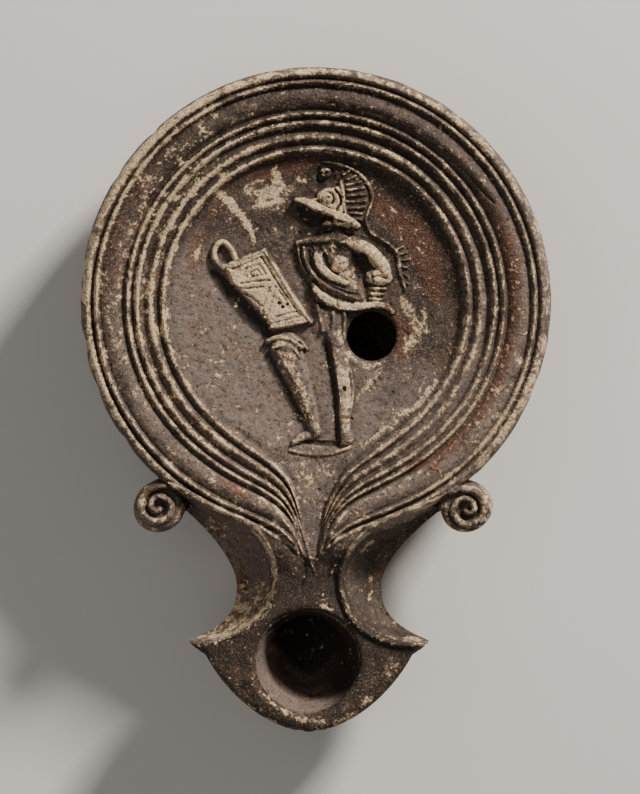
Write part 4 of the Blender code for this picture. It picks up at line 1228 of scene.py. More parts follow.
@dataclass(frozen=True)
class ClayFinish:
    """The worn clay: linear colours, noise patterns as (scale, detail, roughness), and how matt it is."""

    dark_slip: Colour = (0.036, 0.022, 0.016)
    grey_slip: Colour = (0.188, 0.148, 0.129)
    red_clay: Colour = (0.120, 0.042, 0.024)
    brown_clay: Colour = (0.125, 0.072, 0.044)
    dust: Colour = (0.330, 0.228, 0.142)
    # Soot, also the colour of the painted shade and the painted shadows.
    soot_and_shade: Colour = (0.022, 0.014, 0.010)
    deposit: Colour = (0.780, 0.615, 0.390)
    # Grime, also the colour of the painted shade in the hollows.
    grime_and_shade: Colour = (0.012, 0.008, 0.006)
    cloud: Pattern = (150.0, 4.0, 0.6)
    blotch: Pattern = (430.0, 4.0, 0.65)
    speckle: Pattern = (1300.0, 3.0, 0.65)
    fleck: Pattern = (1900.0, 1.0, 0.5)
    grain: Pattern = (3300.0, 2.0, 0.6)
    roughness: float = 0.72
    sheen: float = 0.3
    bump_strength: float = 0.7
    bump_height: float = 0.00028

    def build(self) -> bpy.types.Material:
        """Makes the material from noise on object coordinates and the lamp's own attributes.

        Returns:
            The finished material.
        """
        material = bpy.data.materials.new("worn_fired_clay")
        material.use_nodes = True
        tree = material.node_tree
        shader = tree.nodes["Principled BSDF"]
        shader.inputs["Metallic"].default_value = 0.0
        shader.inputs["Specular IOR Level"].default_value = self.sheen
        wiring = Wiring(tree)
        names = ("cloud", "blotch", "speckle", "fleck", "grain")
        noises = {name: wiring.noise(*getattr(self, name)) for name in names}
        kinds = ("pale", "soot_and_shade", "crust", "hollow", "red", "specks")
        marks = {kind: wiring.attribute(kind) for kind in kinds}
        slip = self.slip_colour(wiring, noises, marks)
        clay, cover = self.deposited(wiring, noises, marks, slip)
        tree.links.new(clay, shader.inputs["Base Color"])
        uneven = wiring.scale(wiring.centred(noises["blotch"]), 0.4)
        matt = wiring.add(wiring.scale(cover, 0.15), uneven, self.roughness)
        tree.links.new(matt, shader.inputs["Roughness"])
        height = wiring.add(wiring.scale(noises["speckle"], 0.7), wiring.scale(noises["grain"], 0.55))
        height = wiring.add(height, wiring.scale(cover, 0.30))
        bump = tree.nodes.new("ShaderNodeBump")
        bump.inputs["Strength"].default_value = self.bump_strength
        bump.inputs["Distance"].default_value = self.bump_height
        tree.links.new(height, bump.inputs["Height"])
        tree.links.new(bump.outputs["Normal"], shader.inputs["Normal"])
        return material

    def slip_colour(self, wiring: Wiring, noises: dict[str, Socket], marks: dict[str, Socket]) -> Socket:
        """The slip with its bare clay, dust, soot and painted shadows, and grime with painted shade in the
        hollows, before any deposit.

        Args:
            wiring: The material's nodes.
            noises: The noise patterns by name.
            marks: The lamp's attributes by name.

        Returns:
            The colour.
        """
        blotch, cloud = noises["blotch"], noises["cloud"]
        soot_and_shade, hollow = marks["soot_and_shade"], marks["hollow"]
        tone = wiring.add(wiring.scale(marks["pale"], 0.85), wiring.scale(wiring.centred(cloud), 1.2))
        tone = wiring.add(tone, wiring.scale(wiring.centred(blotch), 1.2))
        slip = wiring.blend(wiring.ramp(tone, -0.10, 0.95), self.dark_slip, self.grey_slip)
        brown = wiring.ramp(wiring.add(wiring.scale(blotch, 0.6), wiring.scale(cloud, 0.4)), 0.47, 0.62)
        slip = wiring.blend_colour(wiring.scale(brown, 0.60), slip, self.brown_clay)
        worn = wiring.ramp(wiring.add(marks["red"], wiring.scale(wiring.centred(blotch), 1.3)), 0.12, 0.60)
        slip = wiring.blend_colour(wiring.scale(worn, 0.85), slip, self.red_clay)
        # Soot, with the painted shade and the painted shadows.
        slip = wiring.blend_colour(wiring.scale(soot_and_shade, 0.87), slip, self.soot_and_shade)
        mottle = wiring.ramp(wiring.centred(noises["speckle"]), 0.0, -0.20)
        slip = wiring.blend_colour(wiring.scale(mottle, 0.82), slip, self.grime_and_shade)
        clean = wiring.add(wiring.scale(soot_and_shade, -0.30), wiring.scale(hollow, -0.12), 0.52)
        dusty = wiring.math("MULTIPLY", wiring.ramp(wiring.centred(noises["grain"]), 0.0, 0.16), clean)
        slip = wiring.blend_colour(dusty, slip, self.dust)
        # Painted shade with grime in the hollows.
        return wiring.blend_colour(wiring.scale(hollow, 0.62), slip, self.grime_and_shade)

    def deposited(
        self, wiring: Wiring, noises: dict[str, Socket], marks: dict[str, Socket], slip: Socket
    ) -> tuple[Socket, Socket]:
        """The slip under its broken crust of pale deposit and its loose specks.

        Args:
            wiring: The material's nodes.
            noises: The noise patterns by name.
            marks: The lamp's attributes by name.
            slip: The slip's colour.

        Returns:
            The finished colour, and how much of it is crust.
        """
        crust, specks = marks["crust"], marks["specks"]
        speckle, blotch, fleck = (wiring.centred(noises[name]) for name in ("speckle", "blotch", "fleck"))
        broken = wiring.add(wiring.scale(speckle, 1.7), wiring.scale(blotch, 2.5))
        broken = wiring.add(broken, wiring.scale(fleck, 1.0))
        halo = wiring.ramp(wiring.add(crust, wiring.scale(broken, 0.6)), 0.18, 0.62)
        slip = wiring.blend_colour(wiring.scale(halo, 0.34), slip, self.dust)
        cover = wiring.ramp(wiring.add(crust, broken), 0.42, 0.80)
        tan = wiring.blend(wiring.ramp(noises["grain"], 0.36, 0.62), self.dust, self.deposit)
        clay = wiring.blend_wired(wiring.scale(cover, 0.90), slip, tan)
        spotted = wiring.add(wiring.scale(specks, 0.15), wiring.scale(fleck, 0.8))
        spotted = wiring.add(spotted, wiring.scale(speckle, 0.7))
        spots = wiring.ramp(wiring.add(spotted, wiring.scale(blotch, 0.4)), 0.22, 0.40)
        spots = wiring.math("MULTIPLY", spots, wiring.ramp(specks, 0.02, 0.18))
        return wiring.blend_wired(wiring.scale(spots, 0.62), clay, tan), cover


class Wiring:
    """Short names for the nodes that a finish is wired from."""

    def __init__(self, tree: bpy.types.NodeTree) -> None:
        """Keeps the tree and places its coordinates.

        Args:
            tree: The material's node tree.
        """
        self.tree = tree
        self.place = tree.nodes.new("ShaderNodeTexCoord").outputs["Object"]

    def noise(self, scale: float, detail: float, roughness: float) -> Socket:
        """A noise pattern on object coordinates.

        Args:
            scale: Grains in a metre.
            detail: How many finer layers it has.
            roughness: How strong the finer layers are.

        Returns:
            The pattern, from 0 to 1.
        """
        node = self.tree.nodes.new("ShaderNodeTexNoise")
        node.inputs["Scale"].default_value = scale
        node.inputs["Detail"].default_value = detail
        node.inputs["Roughness"].default_value = roughness
        self.tree.links.new(self.place, node.inputs["Vector"])
        return node.outputs["Fac"]

    def attribute(self, name: str) -> Socket:
        """One of the lamp's own values.

        Args:
            name: The attribute's name on the mesh.

        Returns:
            Its value.
        """
        node = self.tree.nodes.new("ShaderNodeAttribute")
        node.attribute_name = name
        return node.outputs["Fac"]

    def math(self, operation: str, *values: Socket | float) -> Socket:
        """A sum, difference or product.

        Args:
            operation: The math node's operation.
            values: Sockets or plain numbers.

        Returns:
            The result.
        """
        node = self.tree.nodes.new("ShaderNodeMath")
        node.operation = operation
        for index, value in enumerate(values):
            if isinstance(value, (int, float)):
                node.inputs[index].default_value = value
            else:
                self.tree.links.new(value, node.inputs[index])
        return node.outputs["Value"]

    def add(self, first: Socket, second: Socket, more: float = 0.0) -> Socket:
        """The sum of two values and a number."""
        total = self.math("ADD", first, second)
        return self.math("ADD", total, more) if more else total

    def scale(self, value: Socket, factor: float) -> Socket:
        """A value times a number."""
        return self.math("MULTIPLY", value, factor)

    def centred(self, value: Socket) -> Socket:
        """A pattern moved to run about 0."""
        return self.math("SUBTRACT", value, 0.5)

    def ramp(self, value: Socket, low: float, high: float) -> Socket:
        """A smooth rise.

        Args:
            value: What is followed.
            low: Where the rise starts, at 0.
            high: Where it ends, at 1.

        Returns:
            The rise, from 0 to 1.
        """
        node = self.tree.nodes.new("ShaderNodeMapRange")
        node.interpolation_type = "SMOOTHSTEP"
        node.inputs["From Min"].default_value = low
        node.inputs["From Max"].default_value = high
        self.tree.links.new(value, node.inputs["Value"])
        return node.outputs["Result"]

    def blend(self, share: Socket, first: Colour, second: Colour) -> Socket:
        """A colour between two plain ones.

        Args:
            share: 0 for the first colour and 1 for the second.
            first: The first colour.
            second: The second colour.

        Returns:
            The blended colour.
        """
        node = self.mix_node(share)
        node.inputs["A"].default_value = (*first, 1.0)
        node.inputs["B"].default_value = (*second, 1.0)
        return node.outputs["Result"]

    def blend_colour(self, share: Socket, first: Socket, second: Colour) -> Socket:
        """A colour between a wired one and a plain one.

        Args:
            share: 0 for the first colour and 1 for the second.
            first: The wired colour.
            second: The plain colour.

        Returns:
            The blended colour.
        """
        node = self.mix_node(share)
        self.tree.links.new(first, node.inputs["A"])
        node.inputs["B"].default_value = (*second, 1.0)
        return node.outputs["Result"]

    def blend_wired(self, share: Socket, first: Socket, second: Socket) -> Socket:
        """A colour between two wired ones.

        Args:
            share: 0 for the first colour and 1 for the second.
            first: The first colour.
            second: The second colour.

        Returns:
            The blended colour.
        """
        node = self.mix_node(share)
        self.tree.links.new(first, node.inputs["A"])
        self.tree.links.new(second, node.inputs["B"])
        return node.outputs["Result"]

    def mix_node(self, share: Socket) -> "ColourMix":
        """A colour mix node with its share wired.

        Args:
            share: The mix node's factor.

        Returns:
            The node's colour sockets.
        """
        node = self.tree.nodes.new("ShaderNodeMix")
        node.data_type = "RGBA"
        node.clamp_factor = True
        self.tree.links.new(share, node.inputs["Factor"])
        return ColourMix(node)


class ColourMix:
    """The colour sockets of a mix node, which also has sockets of the same names for numbers."""

    def __init__(self, node: bpy.types.Node) -> None:
        """Finds the colour sockets.

        Args:
            node: The mix node.
        """
        self.inputs = {socket.name: socket for socket in node.inputs if socket.type == "RGBA"}
        self.outputs = {socket.name: socket for socket in node.outputs if socket.type == "RGBA"}


@dataclass
class LampShell:
    """The clay itself: the moulded top over a bowl and nozzle, hollow inside."""

    top: MouldedTop = field(default_factory=MouldedTop)
    shift: float = 16.3
    spacing: float = 0.27
    fine_spacing: float = 0.155
    wall: float = 3.0
    foot_radius: float = 21.0
    foot_height: float = 0.8
    keel: float = 6.2
    keel_rise: float = 7.5
    block_top: float = 34.0
    triangles: int = 185000

    def bowl_point(self, foot: float, base: float, side: float, turn: float) -> tuple[float, float]:
        """A point of the bowl's quarter ellipse, from the foot at turn 0 to the seam."""
        return mix(foot, side, math.sin(turn)), mix(base, self.top.seam, 1.0 - math.cos(turn))

    def placed(self, work: bmesh.types.BMesh, name: str, leaning: bool = True) -> bpy.types.Object:
        """Sets a shape built about the body's middle into the frame.

        Args:
            work: The shape in millimetres, which is freed.
            name: The object's name.
            leaning: Whether it leans with the nozzle.

        Returns:
            The new object, in metres.
        """
        for vertex in work.verts:
            if leaning:
                vertex.co.x -= float(self.top.leaning(np.array(-vertex.co.y)))
        scaled = Matrix.Scale(0.001, 4) @ Matrix.Translation((0.0, self.shift, 0.0))
        bmesh.ops.transform(work, matrix=scaled, verts=work.verts)
        mesh = bpy.data.meshes.new(name)
        work.to_mesh(mesh)
        work.free()
        made = bpy.data.objects.new(name, mesh)
        bpy.context.scene.collection.objects.link(made)
        return made

    def turned(self, profile: Path, steps: int, at: tuple[float, float] = (0.0, 0.0)) -> bmesh.types.BMesh:
        """Spins a profile of (radius, height) points about an upright axis.

        Args:
            profile: The points, from the axis back to the axis.
            steps: Stations round the axis.
            at: Where the axis stands.

        Returns:
            The closed shape.
        """
        work = bmesh.new()
        line = [work.verts.new((radius, 0.0, height)) for radius, height in profile]
        edges = [work.edges.new(pair) for pair in zip(line[:-1], line[1:])]
        bmesh.ops.spin(
            work,
            geom=line + edges,
            cent=(0.0, 0.0, 0.0),
            axis=(0.0, 0.0, 1.0),
            angle=math.tau,
            steps=steps,
            use_merge=True,
            use_duplicate=False,
        )
        bmesh.ops.remove_doubles(work, verts=work.verts, dist=0.0005)
        bmesh.ops.recalc_face_normals(work, faces=work.faces)
        bmesh.ops.translate(work, verts=work.verts, vec=(at[0], at[1], 0.0))
        return work

    def body_form(self) -> bpy.types.Object:
        """The bowl, with a straight side that rises past the rim.

        Returns:
            The body, still solid.
        """
        profile = [(0.0, self.block_top), (self.top.radius, self.block_top)]
        profile.append((self.top.radius, self.top.seam + 3.0))
        for step in range(19):
            turn = math.pi / 2 * (1.0 - step / 18)
            profile.append(self.bowl_point(self.foot_radius, self.foot_height, self.top.radius, turn))
        profile += [(self.foot_radius - 0.15, 0.25), (self.foot_radius - 0.5, 0.0)]
        profile += [(17.3, 0.0), (16.9, 0.25), (16.5, 0.6), (16.1, 0.25), (15.7, 0.0), (0.0, 0.0)]
        work = self.turned(profile, 400)
        bruises = [(172.0, 2.6, 0.55), (177.5, 1.4, 0.35), (163.0, 2.0, 0.30), (190.0, 3.0, 0.40)]
        bruises += [(201.0, 2.2, 0.35), (133.5, 1.6, 0.40), (148.0, 2.4, 0.28), (216.0, 2.0, 0.30)]
        bruises += [(12.0, 1.6, 0.30), (-22.0, 2.6, 0.25), (64.0, 2.0, 0.2)]
        for vertex in work.verts:
            if vertex.co.z > 1.2:
                angle = math.atan2(vertex.co.y, vertex.co.x)
                swell = 0.10 * math.sin(3 * angle + 0.7) + 0.07 * math.sin(7 * angle + vertex.co.z * 0.35)
                fine = 53 * angle + 2.0 * math.sin(5 * angle)
                swell += 0.05 * math.sin(31 * angle + 1.3) + 0.04 * math.sin(fine)
                for degrees, width, depth in bruises:
                    apart = (math.degrees(angle) - degrees + 180.0) % 360.0 - 180.0
                    swell -= depth * math.exp(-((apart / width) ** 2)) * (vertex.co.z > 12.0)
                out = (swell - 0.20) / max(math.hypot(vertex.co.x, vertex.co.y), 1.0)
                vertex.co.x += vertex.co.x * out
                vertex.co.y += vertex.co.y * out
        return self.placed(work, "body_form", leaning=False)

    def nozzle_form(self) -> bpy.types.Object:
        """The nozzle below its top, as a loft of cross-sections from inside the body to the point.

        Returns:
            The nozzle, still solid.
        """
        top = self.top
        reaches = [top.waist_reach - top.notch_length * (1.12 - 1.12 * i / 14) for i in range(15)]
        reaches += [mix(top.waist_reach, top.corner_reach, i / 12) for i in range(1, 12)]
        reaches += [top.corner_reach, top.corner_reach + 1.1, top.corner_reach + 2.2]
        shares = [1.0 - (1.0 - i / 22) ** 1.8 for i in range(1, 22)]
        reaches += [mix(top.corner_reach + 2.2, top.nozzle_reach, share) for share in shares]
        reaches.append(top.nozzle_reach - 0.003)
        work = bmesh.new()
        loops = []
        for reach in reaches:
            along = min(1.0, max(0.0, (reach - top.waist_reach) / (top.nozzle_reach - top.waist_reach)))
            keel = self.keel + self.keel_rise * along**2
            seam = float(top.seam_half_width(np.array(reach)))
            half = [(0.0, self.block_top), (seam, self.block_top)]
            half += [(seam, top.seam + 0.4), (seam, top.seam - 0.4)]
            half += [(seam * 0.955, mix(keel, top.seam, 0.74)), (seam * 0.80, mix(keel, top.seam, 0.35))]
            half += [(seam * 0.64, mix(keel, top.seam, 0.12)), (seam * 0.42, keel), (0.0, keel)]
            ring = half + [(-x, z) for x, z in reversed(half[1:-1])]
            corners = [work.verts.new((x, -reach, z)) for x, z in ring]
            loops.append([work.edges.new((corners[i - 1], corners[i])) for i in range(len(corners))])
        bmesh.ops.bridge_loops(work, edges=[edge for loop in loops for edge in loop])
        bmesh.ops.holes_fill(work, edges=work.edges, sides=0)
        bmesh.ops.recalc_face_normals(work, faces=work.faces)
        return self.placed(work, "nozzle_form")

    def knob_form(self, side: int) -> bpy.types.Object:
        """The round end of a volute, which tapers in towards the bowl below the seam.

        Args:
            side: -1 for the left volute, 1 for the right.

        Returns:
            The knob, still solid.
        """
        top = self.top
        high, low = top.rim - top.knob_drop, top.rim - top.knob_drop - 7.0
        radius = top.knob_radius
        profile = [(0.0, self.block_top), (radius, self.block_top), (radius, high - 0.6)]
        profile += [(radius * 1.05, low), (radius * 0.9, low - 1.6)]
        profile += [(radius * 0.6, low - 4.9), (0.0, low - 4.9)]
        work = self.turned(profile, 48)
        for vertex in work.verts:
            inwards = max(0.0, low - vertex.co.z) / 4.9
            vertex.co.x += side * 26.1 - side * radius * 0.7 * inwards
            vertex.co.y += radius * 0.9 * inwards - 34.6
        return self.placed(work, "knob_form")

    def stations(self, start: float, end: float, fine_start: float, fine_end: float) -> np.ndarray:
        """Grid lines from start to end, closer together over the figure.

        Args:
            start: The first line, in millimetres.
            end: The last line.
            fine_start: Where the close lines begin.
            fine_end: Where they end.

        Returns:
            The places of the lines.
        """
        stretches = [(start, fine_start, self.spacing), (fine_start, fine_end, self.fine_spacing)]
        stretches.append((fine_end, end, self.spacing))
        lines = [np.linspace(a, b, round((b - a) / step), endpoint=False) for a, b, step in stretches]
        return np.append(np.concatenate(lines), end)

    def top_block(self) -> bpy.types.Object:
        """A closed block whose upper face carries the heights of the top.

        Returns:
            The block, to be crossed with the solid forms.
        """
        across = self.stations(-42.0, 42.0, -18.0, 17.0)
        along = self.stations(-75.3, 42.7, -45.0, 25.0)
        work = bmesh.new()
        bmesh.ops.create_grid(work, x_segments=len(across) - 1, y_segments=len(along) - 1, size=0.5)
        for vertex in work.verts:
            vertex.co.x = float(np.interp(vertex.co.x + 0.5, np.linspace(0.0, 1.0, len(across)), across))
            vertex.co.y = float(np.interp(vertex.co.y + 0.5, np.linspace(0.0, 1.0, len(along)), along))
        upper = list(work.verts)
        extruded = bmesh.ops.extrude_face_region(work, geom=list(work.faces))
        lowered = [item for item in extruded["geom"] if isinstance(item, bmesh.types.BMVert)]
        bmesh.ops.translate(work, verts=lowered, vec=(0.0, 0.0, -2.0))
        bmesh.ops.recalc_face_normals(work, faces=work.faces)
        place = np.array([vertex.co[:2] for vertex in upper])
        heights = self.top.heights(Plan(place[:, 0], place[:, 1]))
        for vertex, height in zip(upper, heights):
            vertex.co.z = float(height)
        self.soften_ridges(work, upper)
        return self.placed(work, "top_block", leaning=False)

    def soften_ridges(self, work: bmesh.types.BMesh, upper: list[bmesh.types.BMVert]) -> None:
        """Rounds the ridges of the nozzle's steep sides by about one grid step.

        Args:
            work: The top block.
            upper: The vertices of its upper face.
        """
        steep = []
        for vertex in upper:
            if vertex.co.y < -36.0 and vertex.co.z > 12.0:
                around = [edge.other_vert(vertex).co.z for edge in vertex.link_edges]
                near = [height for height in around if height > 12.0]
                if len(near) > 3 and max(near) - min(near) > 0.5:
                    steep.append(vertex)
        for _ in range(3):
            bmesh.ops.smooth_vert(work, verts=steep, factor=0.5, use_axis_z=True)

    def chamber(self) -> bpy.types.Object:
        """The oil chamber, a wall's thickness inside the body.

        Returns:
            The shape to cut away.
        """
        top = self.top
        side = top.radius - self.wall
        inner = top.radius - top.shoulder
        under = top.rim - top.drop - self.wall
        profile = [(0.0, under - top.sag), (inner * 0.5, under - top.sag * 0.75), (inner, under)]
        profile += [(mix(inner, side, 0.60), top.rim - self.wall - top.drop * 0.4)]
        profile += [(mix(inner, side, 0.88), top.rim - self.wall - top.drop * 0.55)]
        for step in range(11):
            turn = math.pi / 2 * (1.0 - step / 10)
            profile.append(self.bowl_point(self.foot_radius - self.wall / 2, self.wall, side, turn))
        profile.append((0.0, self.wall))
        return self.placed(self.turned(profile, 96), "chamber", leaning=False)

    def passage(self) -> bpy.types.Object:
        """The way from the oil chamber to the wick hole.

        Returns:
            The shape to cut away.
        """
        rear, front = self.top.radius - self.top.shoulder, 65.6
        ceiling = self.top.rim - self.top.nozzle_drop - self.wall
        floor = self.keel + self.wall * 0.9
        work = bmesh.new()
        bmesh.ops.create_uvsphere(work, u_segments=48, v_segments=24, radius=1.0)
        bmesh.ops.scale(work, verts=work.verts, vec=(8.0, (front - rear) / 2, (ceiling - floor) / 2))
        bmesh.ops.translate(work, verts=work.verts, vec=(0.0, -(front + rear) / 2, (ceiling + floor) / 2))
        return self.placed(work, "passage")

    def wick_hole(self) -> bpy.types.Object:
        """The wick hole: a rounded lip, a straight bore, and a bowl that closes above the keel.

        Returns:
            The shape to cut away.
        """
        top = self.top.rim - self.top.nozzle_drop
        floor = self.keel + self.keel_rise * 0.42 + self.wall
        profile = [(0.0, top + 3.0), (10.0, top + 3.0), (9.3, top + 0.6), (8.95, top)]
        profile += [(8.62, top - 0.45), (8.4, top - 1.1), (8.05, top - 2.4)]
        profile += [(7.2, mix(floor, top, 0.5)), (6.4, mix(floor, top, 0.18)), (4.6, floor), (0.0, floor)]
        work = self.turned(profile, 128)
        for vertex in work.verts:
            vertex.co.x = vertex.co.x * 1.02 - 0.3
            vertex.co.y += self.top.wick_centre[1]
        return self.placed(work, "wick_hole")

    def filling_hole(self) -> bpy.types.Object:
        """The round hole through the discus.

        Returns:
            The shape to cut away.
        """
        profile = [(0.0, 32.0), (4.2, 32.0), (4.2, 16.0), (0.0, 16.0)]
        bore = self.turned(profile, 96, self.top.filling_centre)
        return self.placed(bore, "filling_hole", leaning=False)

    def boolean(self, target: bpy.types.Object, operation: str, other: bpy.types.Object) -> None:
        """Joins, crosses or cuts one closed shape with another, and puts the other away.

        Args:
            target: The shape that is changed.
            operation: UNION, INTERSECT or DIFFERENCE.
            other: The second shape, which is removed.
        """
        modifier = target.modifiers.new(operation.lower(), "BOOLEAN")
        modifier.operation = operation
        modifier.solver = "MANIFOLD"
        modifier.object = other
        self.apply(target)
        bpy.data.objects.remove(other)

    def apply(self, target: bpy.types.Object) -> None:
        """Turns an object's modifiers into its own mesh.

        Args:
            target: The object.
        """
        bpy.context.view_layer.update()
        graph = bpy.context.evaluated_depsgraph_get()
        mesh = bpy.data.meshes.new_from_object(target.evaluated_get(graph))
        target.modifiers.clear()
        target.data = mesh

    def build(self) -> bpy.types.Object:
        """Makes the whole shell.

        Returns:
            The lamp as one closed piece in the frame.
        """
        shell = self.body_form()
        for form in (self.nozzle_form(), self.knob_form(-1), self.knob_form(1)):
            self.boolean(shell, "UNION", form)
        self.boolean(shell, "INTERSECT", self.top_block())
        for hollow in (self.chamber(), self.passage(), self.wick_hole(), self.filling_hole()):
            self.boolean(shell, "DIFFERENCE", hollow)
        faces = sum(len(polygon.vertices) - 2 for polygon in shell.data.polygons)
        if faces > self.triangles:
            thinned = shell.modifiers.new("thin", "DECIMATE")
            thinned.ratio = self.triangles / faces
            self.apply(shell)
        shell.name = "clay_shell"
        shell.data.name = "clay_shell"
        shell.data.shade_smooth()
        shell.data.set_sharp_from_angle(angle=math.radians(62))
        log.info("clay shell: %d faces before thinning, %d after", faces, len(shell.data.polygons))
        return shell

    def top_share(self, plan: Plan, heights: Field, actual: Field) -> Field:
        """How far each point belongs to the top and not to the plainer sides and inside.

        Args:
            plan: The points, about the body's middle.
            heights: Their own heights, in millimetres.
            actual: The top's height over them.

        Returns:
            1 on the top, with a ragged fade down the outer wall, and 0 below.
        """
        upper = smoothstep((heights - actual + 0.6) / 0.3)
        away = np.hypot(plan.x, plan.y)
        outside = (away > 38.4) & ((plan.y > -31.0) | ((away < 40.3) & (np.abs(plan.x) > 9.0)))
        side = Plan(np.arctan2(plan.y, plan.x) * self.top.radius, heights)
        ragged = heights - self.top.rim + 2.6 + 1.1 * side.grain(1.8, 51)
        return np.where(outside, smoothstep(ragged / 1.6), upper)

    def dress(self, shell: bpy.types.Object, finish: ClayFinish) -> None:
        """Gives the shell its material and the values that the material reads.

        Args:
            shell: The lamp's mesh object.
            finish: The clay's finish.
        """
        mesh = shell.data
        places = np.empty(len(mesh.vertices) * 3)
        mesh.vertices.foreach_get("co", places)
        places = places.reshape(-1, 3) * 1000.0
        heights = places[:, 2]
        plan = Plan(places[:, 0], places[:, 1] - self.shift)
        actual = self.top.heights(plan)
        fine, broad = self.smoothed_top(0.45).at(plan), self.smoothed_top(1.5).at(plan)
        masks = Weathering().masks(plan, actual, fine, broad)
        upper = self.top_share(plan, heights, actual)
        right, ahead = plan.x - self.top.wick_centre[0], plan.y - self.top.wick_centre[1]
        in_hole = (np.hypot(right, ahead) < 9.0) & (heights < 22.9)
        # Painted shadow inside the wick hole: dark towards the upper right and at the bottom.
        shaded = smoothstep(((right + ahead) * 0.7071 + 3.5) / 5.0)
        shaded = np.maximum(shaded, 1.2 * smoothstep((13.8 - heights) / 3.0))
        wall = smoothstep((-plan.y - 33.0) / 4.0) * (1.0 - upper) * (~in_hole)
        resting = {"pale": 0.35, "soot_and_shade": 0.25, "crust": 0.12, "hollow": 0.0, "red": 0.15, "specks": 0.25}
        for name, values in masks.items():
            layer = mesh.attributes.new(name, "FLOAT", "POINT")
            blended = mix(resting[name], values, upper)
            # In the wick hole, soot and hollow carry the painted shadow.
            if name in ("soot_and_shade", "hollow"):
                blended = np.where(in_hole, shaded, blended * (1.0 - 0.7 * wall))
            if name in ("crust", "specks"):
                blended = np.where(in_hole, 0.0, mix(blended, 0.25, wall))
            if name == "pale":
                # Painted light on the wick hole's upper wall, dark lower down.
                lit = smoothstep((heights - 10.8) / 3.0)
                blended = np.where(in_hole, lit, mix(blended, 0.6, wall))
            layer.data.foreach_set("value", np.ascontiguousarray(blended, dtype=np.float32))
        mesh.materials.clear()
        mesh.materials.append(finish.build())

    def smoothed_top(self, reach: float) -> "Smoothed":
        """The top's heights on a plain grid, with relief finer than the reach smoothed away."""
        return Smoothed(self.top, 0.2, reach)


class Smoothed:
    """Blurred heights of the top, which tell a crest from a hollow."""

    def __init__(self, top: MouldedTop, spacing: float, reach: float) -> None:
        """Works out and blurs the heights.

        Args:
            top: The moulded top.
            spacing: Grid spacing in millimetres.
            reach: How far the blur reaches, in millimetres.
        """
        self.spacing = spacing
        xs = np.arange(-42.0, 42.0, spacing)
        ys = np.arange(-75.0, 43.0, spacing)
        x, y = np.meshgrid(xs, ys)
        heights = np.maximum(top.heights(Plan(x.ravel(), y.ravel())).reshape(x.shape), 15.0)
        steps = max(1, round(reach / spacing))
        kernel = np.exp(-0.5 * (np.arange(-2 * steps, 2 * steps + 1) / steps) ** 2)
        kernel /= kernel.sum()
        blurred = heights
        for axis in (1, 0):
            blurred = np.apply_along_axis(np.convolve, axis, blurred, kernel, mode="same")
        self.table = blurred

    def at(self, plan: Plan) -> Field:
        """The blurred height at every point.

        Args:
            plan: The points.

        Returns:
            Heights in millimetres.
        """
        u = np.clip((plan.x + 42.0) / self.spacing, 0, self.table.shape[1] - 1.001)
        v = np.clip((plan.y + 75.0) / self.spacing, 0, self.table.shape[0] - 1.001)
        column, row = u.astype(int), v.astype(int)
        low = mix(self.table[row, column], self.table[row, column + 1], u - column)
        high = mix(self.table[row + 1, column], self.table[row + 1, column + 1], u - column)
        return mix(low, high, v - row)


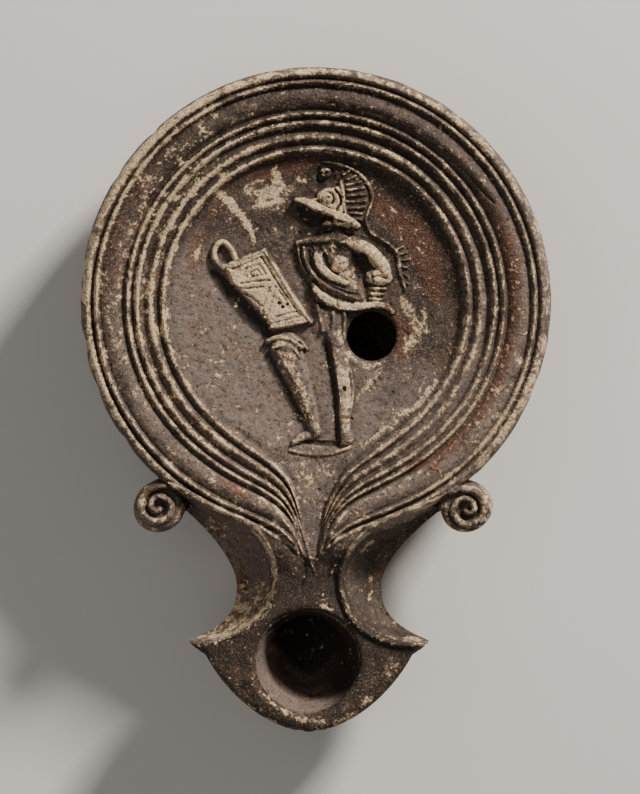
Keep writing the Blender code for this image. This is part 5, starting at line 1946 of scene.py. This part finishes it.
@dataclass
class Studio:
    """The floor, the light and the camera straight above the lamp."""

    distance: float = 1.0
    view_height: float = 0.13402
    centre: tuple[float, float] = (0.00076, 0.00027)
    working_height: float = 0.024
    floor_size: float = 3.0
    floor_colour: Colour = (0.72, 0.70, 0.67)
    light_distance: float = 0.9

    def floor(self) -> bpy.types.Object:
        """A wide plain pale floor.

        Returns:
            The floor's object.
        """
        work = bmesh.new()
        bmesh.ops.create_grid(work, x_segments=1, y_segments=1, size=self.floor_size)
        mesh = bpy.data.meshes.new("floor")
        work.to_mesh(mesh)
        work.free()
        floor = bpy.data.objects.new("floor", mesh)
        bpy.context.scene.collection.objects.link(floor)
        material = bpy.data.materials.new("pale_floor")
        material.use_nodes = True
        shader = material.node_tree.nodes["Principled BSDF"]
        shader.inputs["Base Color"].default_value = (*self.floor_colour, 1.0)
        shader.inputs["Roughness"].default_value = 0.9
        mesh.materials.append(material)
        return floor

    def light(
        self, name: str, power: float, size: float, azimuth: float, elevation: float, colour: Colour
    ) -> None:
        """An area light aimed at the lamp.

        Args:
            name: The light's name.
            power: In watts.
            size: Side of the square in metres.
            azimuth: Degrees from +X towards +Y.
            elevation: Degrees above the floor.
            colour: Linear red, green and blue.
        """
        data = bpy.data.lights.new(name, "AREA")
        data.energy = power
        data.size = size
        data.color = colour
        lit = bpy.data.objects.new(name, data)
        turn, rise = math.radians(azimuth), math.radians(elevation)
        away = Vector((math.cos(turn) * math.cos(rise), math.sin(turn) * math.cos(rise), math.sin(rise)))
        lit.location = away * self.light_distance
        lit.rotation_euler = away.to_track_quat("Z", "Y").to_euler()
        bpy.context.scene.collection.objects.link(lit)

    def lights(self) -> None:
        """A key from the upper right, low over the relief, and soft fill all round."""
        self.light("key", 14.0, 0.17, 52.0, 32.0, (1.0, 0.95, 0.88))
        self.light("fill", 1.6, 0.9, 200.0, 62.0, (1.0, 0.97, 0.94))
        world = bpy.data.worlds.new("studio")
        world.use_nodes = True
        world.node_tree.nodes["Background"].inputs["Color"].default_value = (1.0, 0.97, 0.94, 1.0)
        world.node_tree.nodes["Background"].inputs["Strength"].default_value = 0.14
        bpy.context.scene.world = world

    def camera(self) -> None:
        """A long lens straight above, framed as the photograph is."""
        data = bpy.data.cameras.new("camera")
        data.sensor_fit = "VERTICAL"
        data.sensor_height = 24.0
        data.lens = 24.0 * self.distance / self.view_height
        data.dof.use_dof = False
        data.clip_end = 20.0
        camera = bpy.data.objects.new("camera", data)
        camera.location = (*self.centre, self.distance + self.working_height)
        bpy.context.scene.collection.objects.link(camera)
        bpy.context.scene.camera = camera


def main() -> None:
    """Builds the lamp's looks and the studio, and reports each piece."""
    logging.basicConfig(level=logging.INFO, format="%(name)s: %(message)s")
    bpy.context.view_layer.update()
    studio = Studio()
    studio.camera()
    floor = studio.floor()
    studio.lights()
    shell = LampShell()
    clay = shell.build()
    shell.dress(clay, ClayFinish())
    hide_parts("lamp")
    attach(clay, "root")
    log.info("clay shell stands for the lamp")


if __name__ == "__main__":
    main()
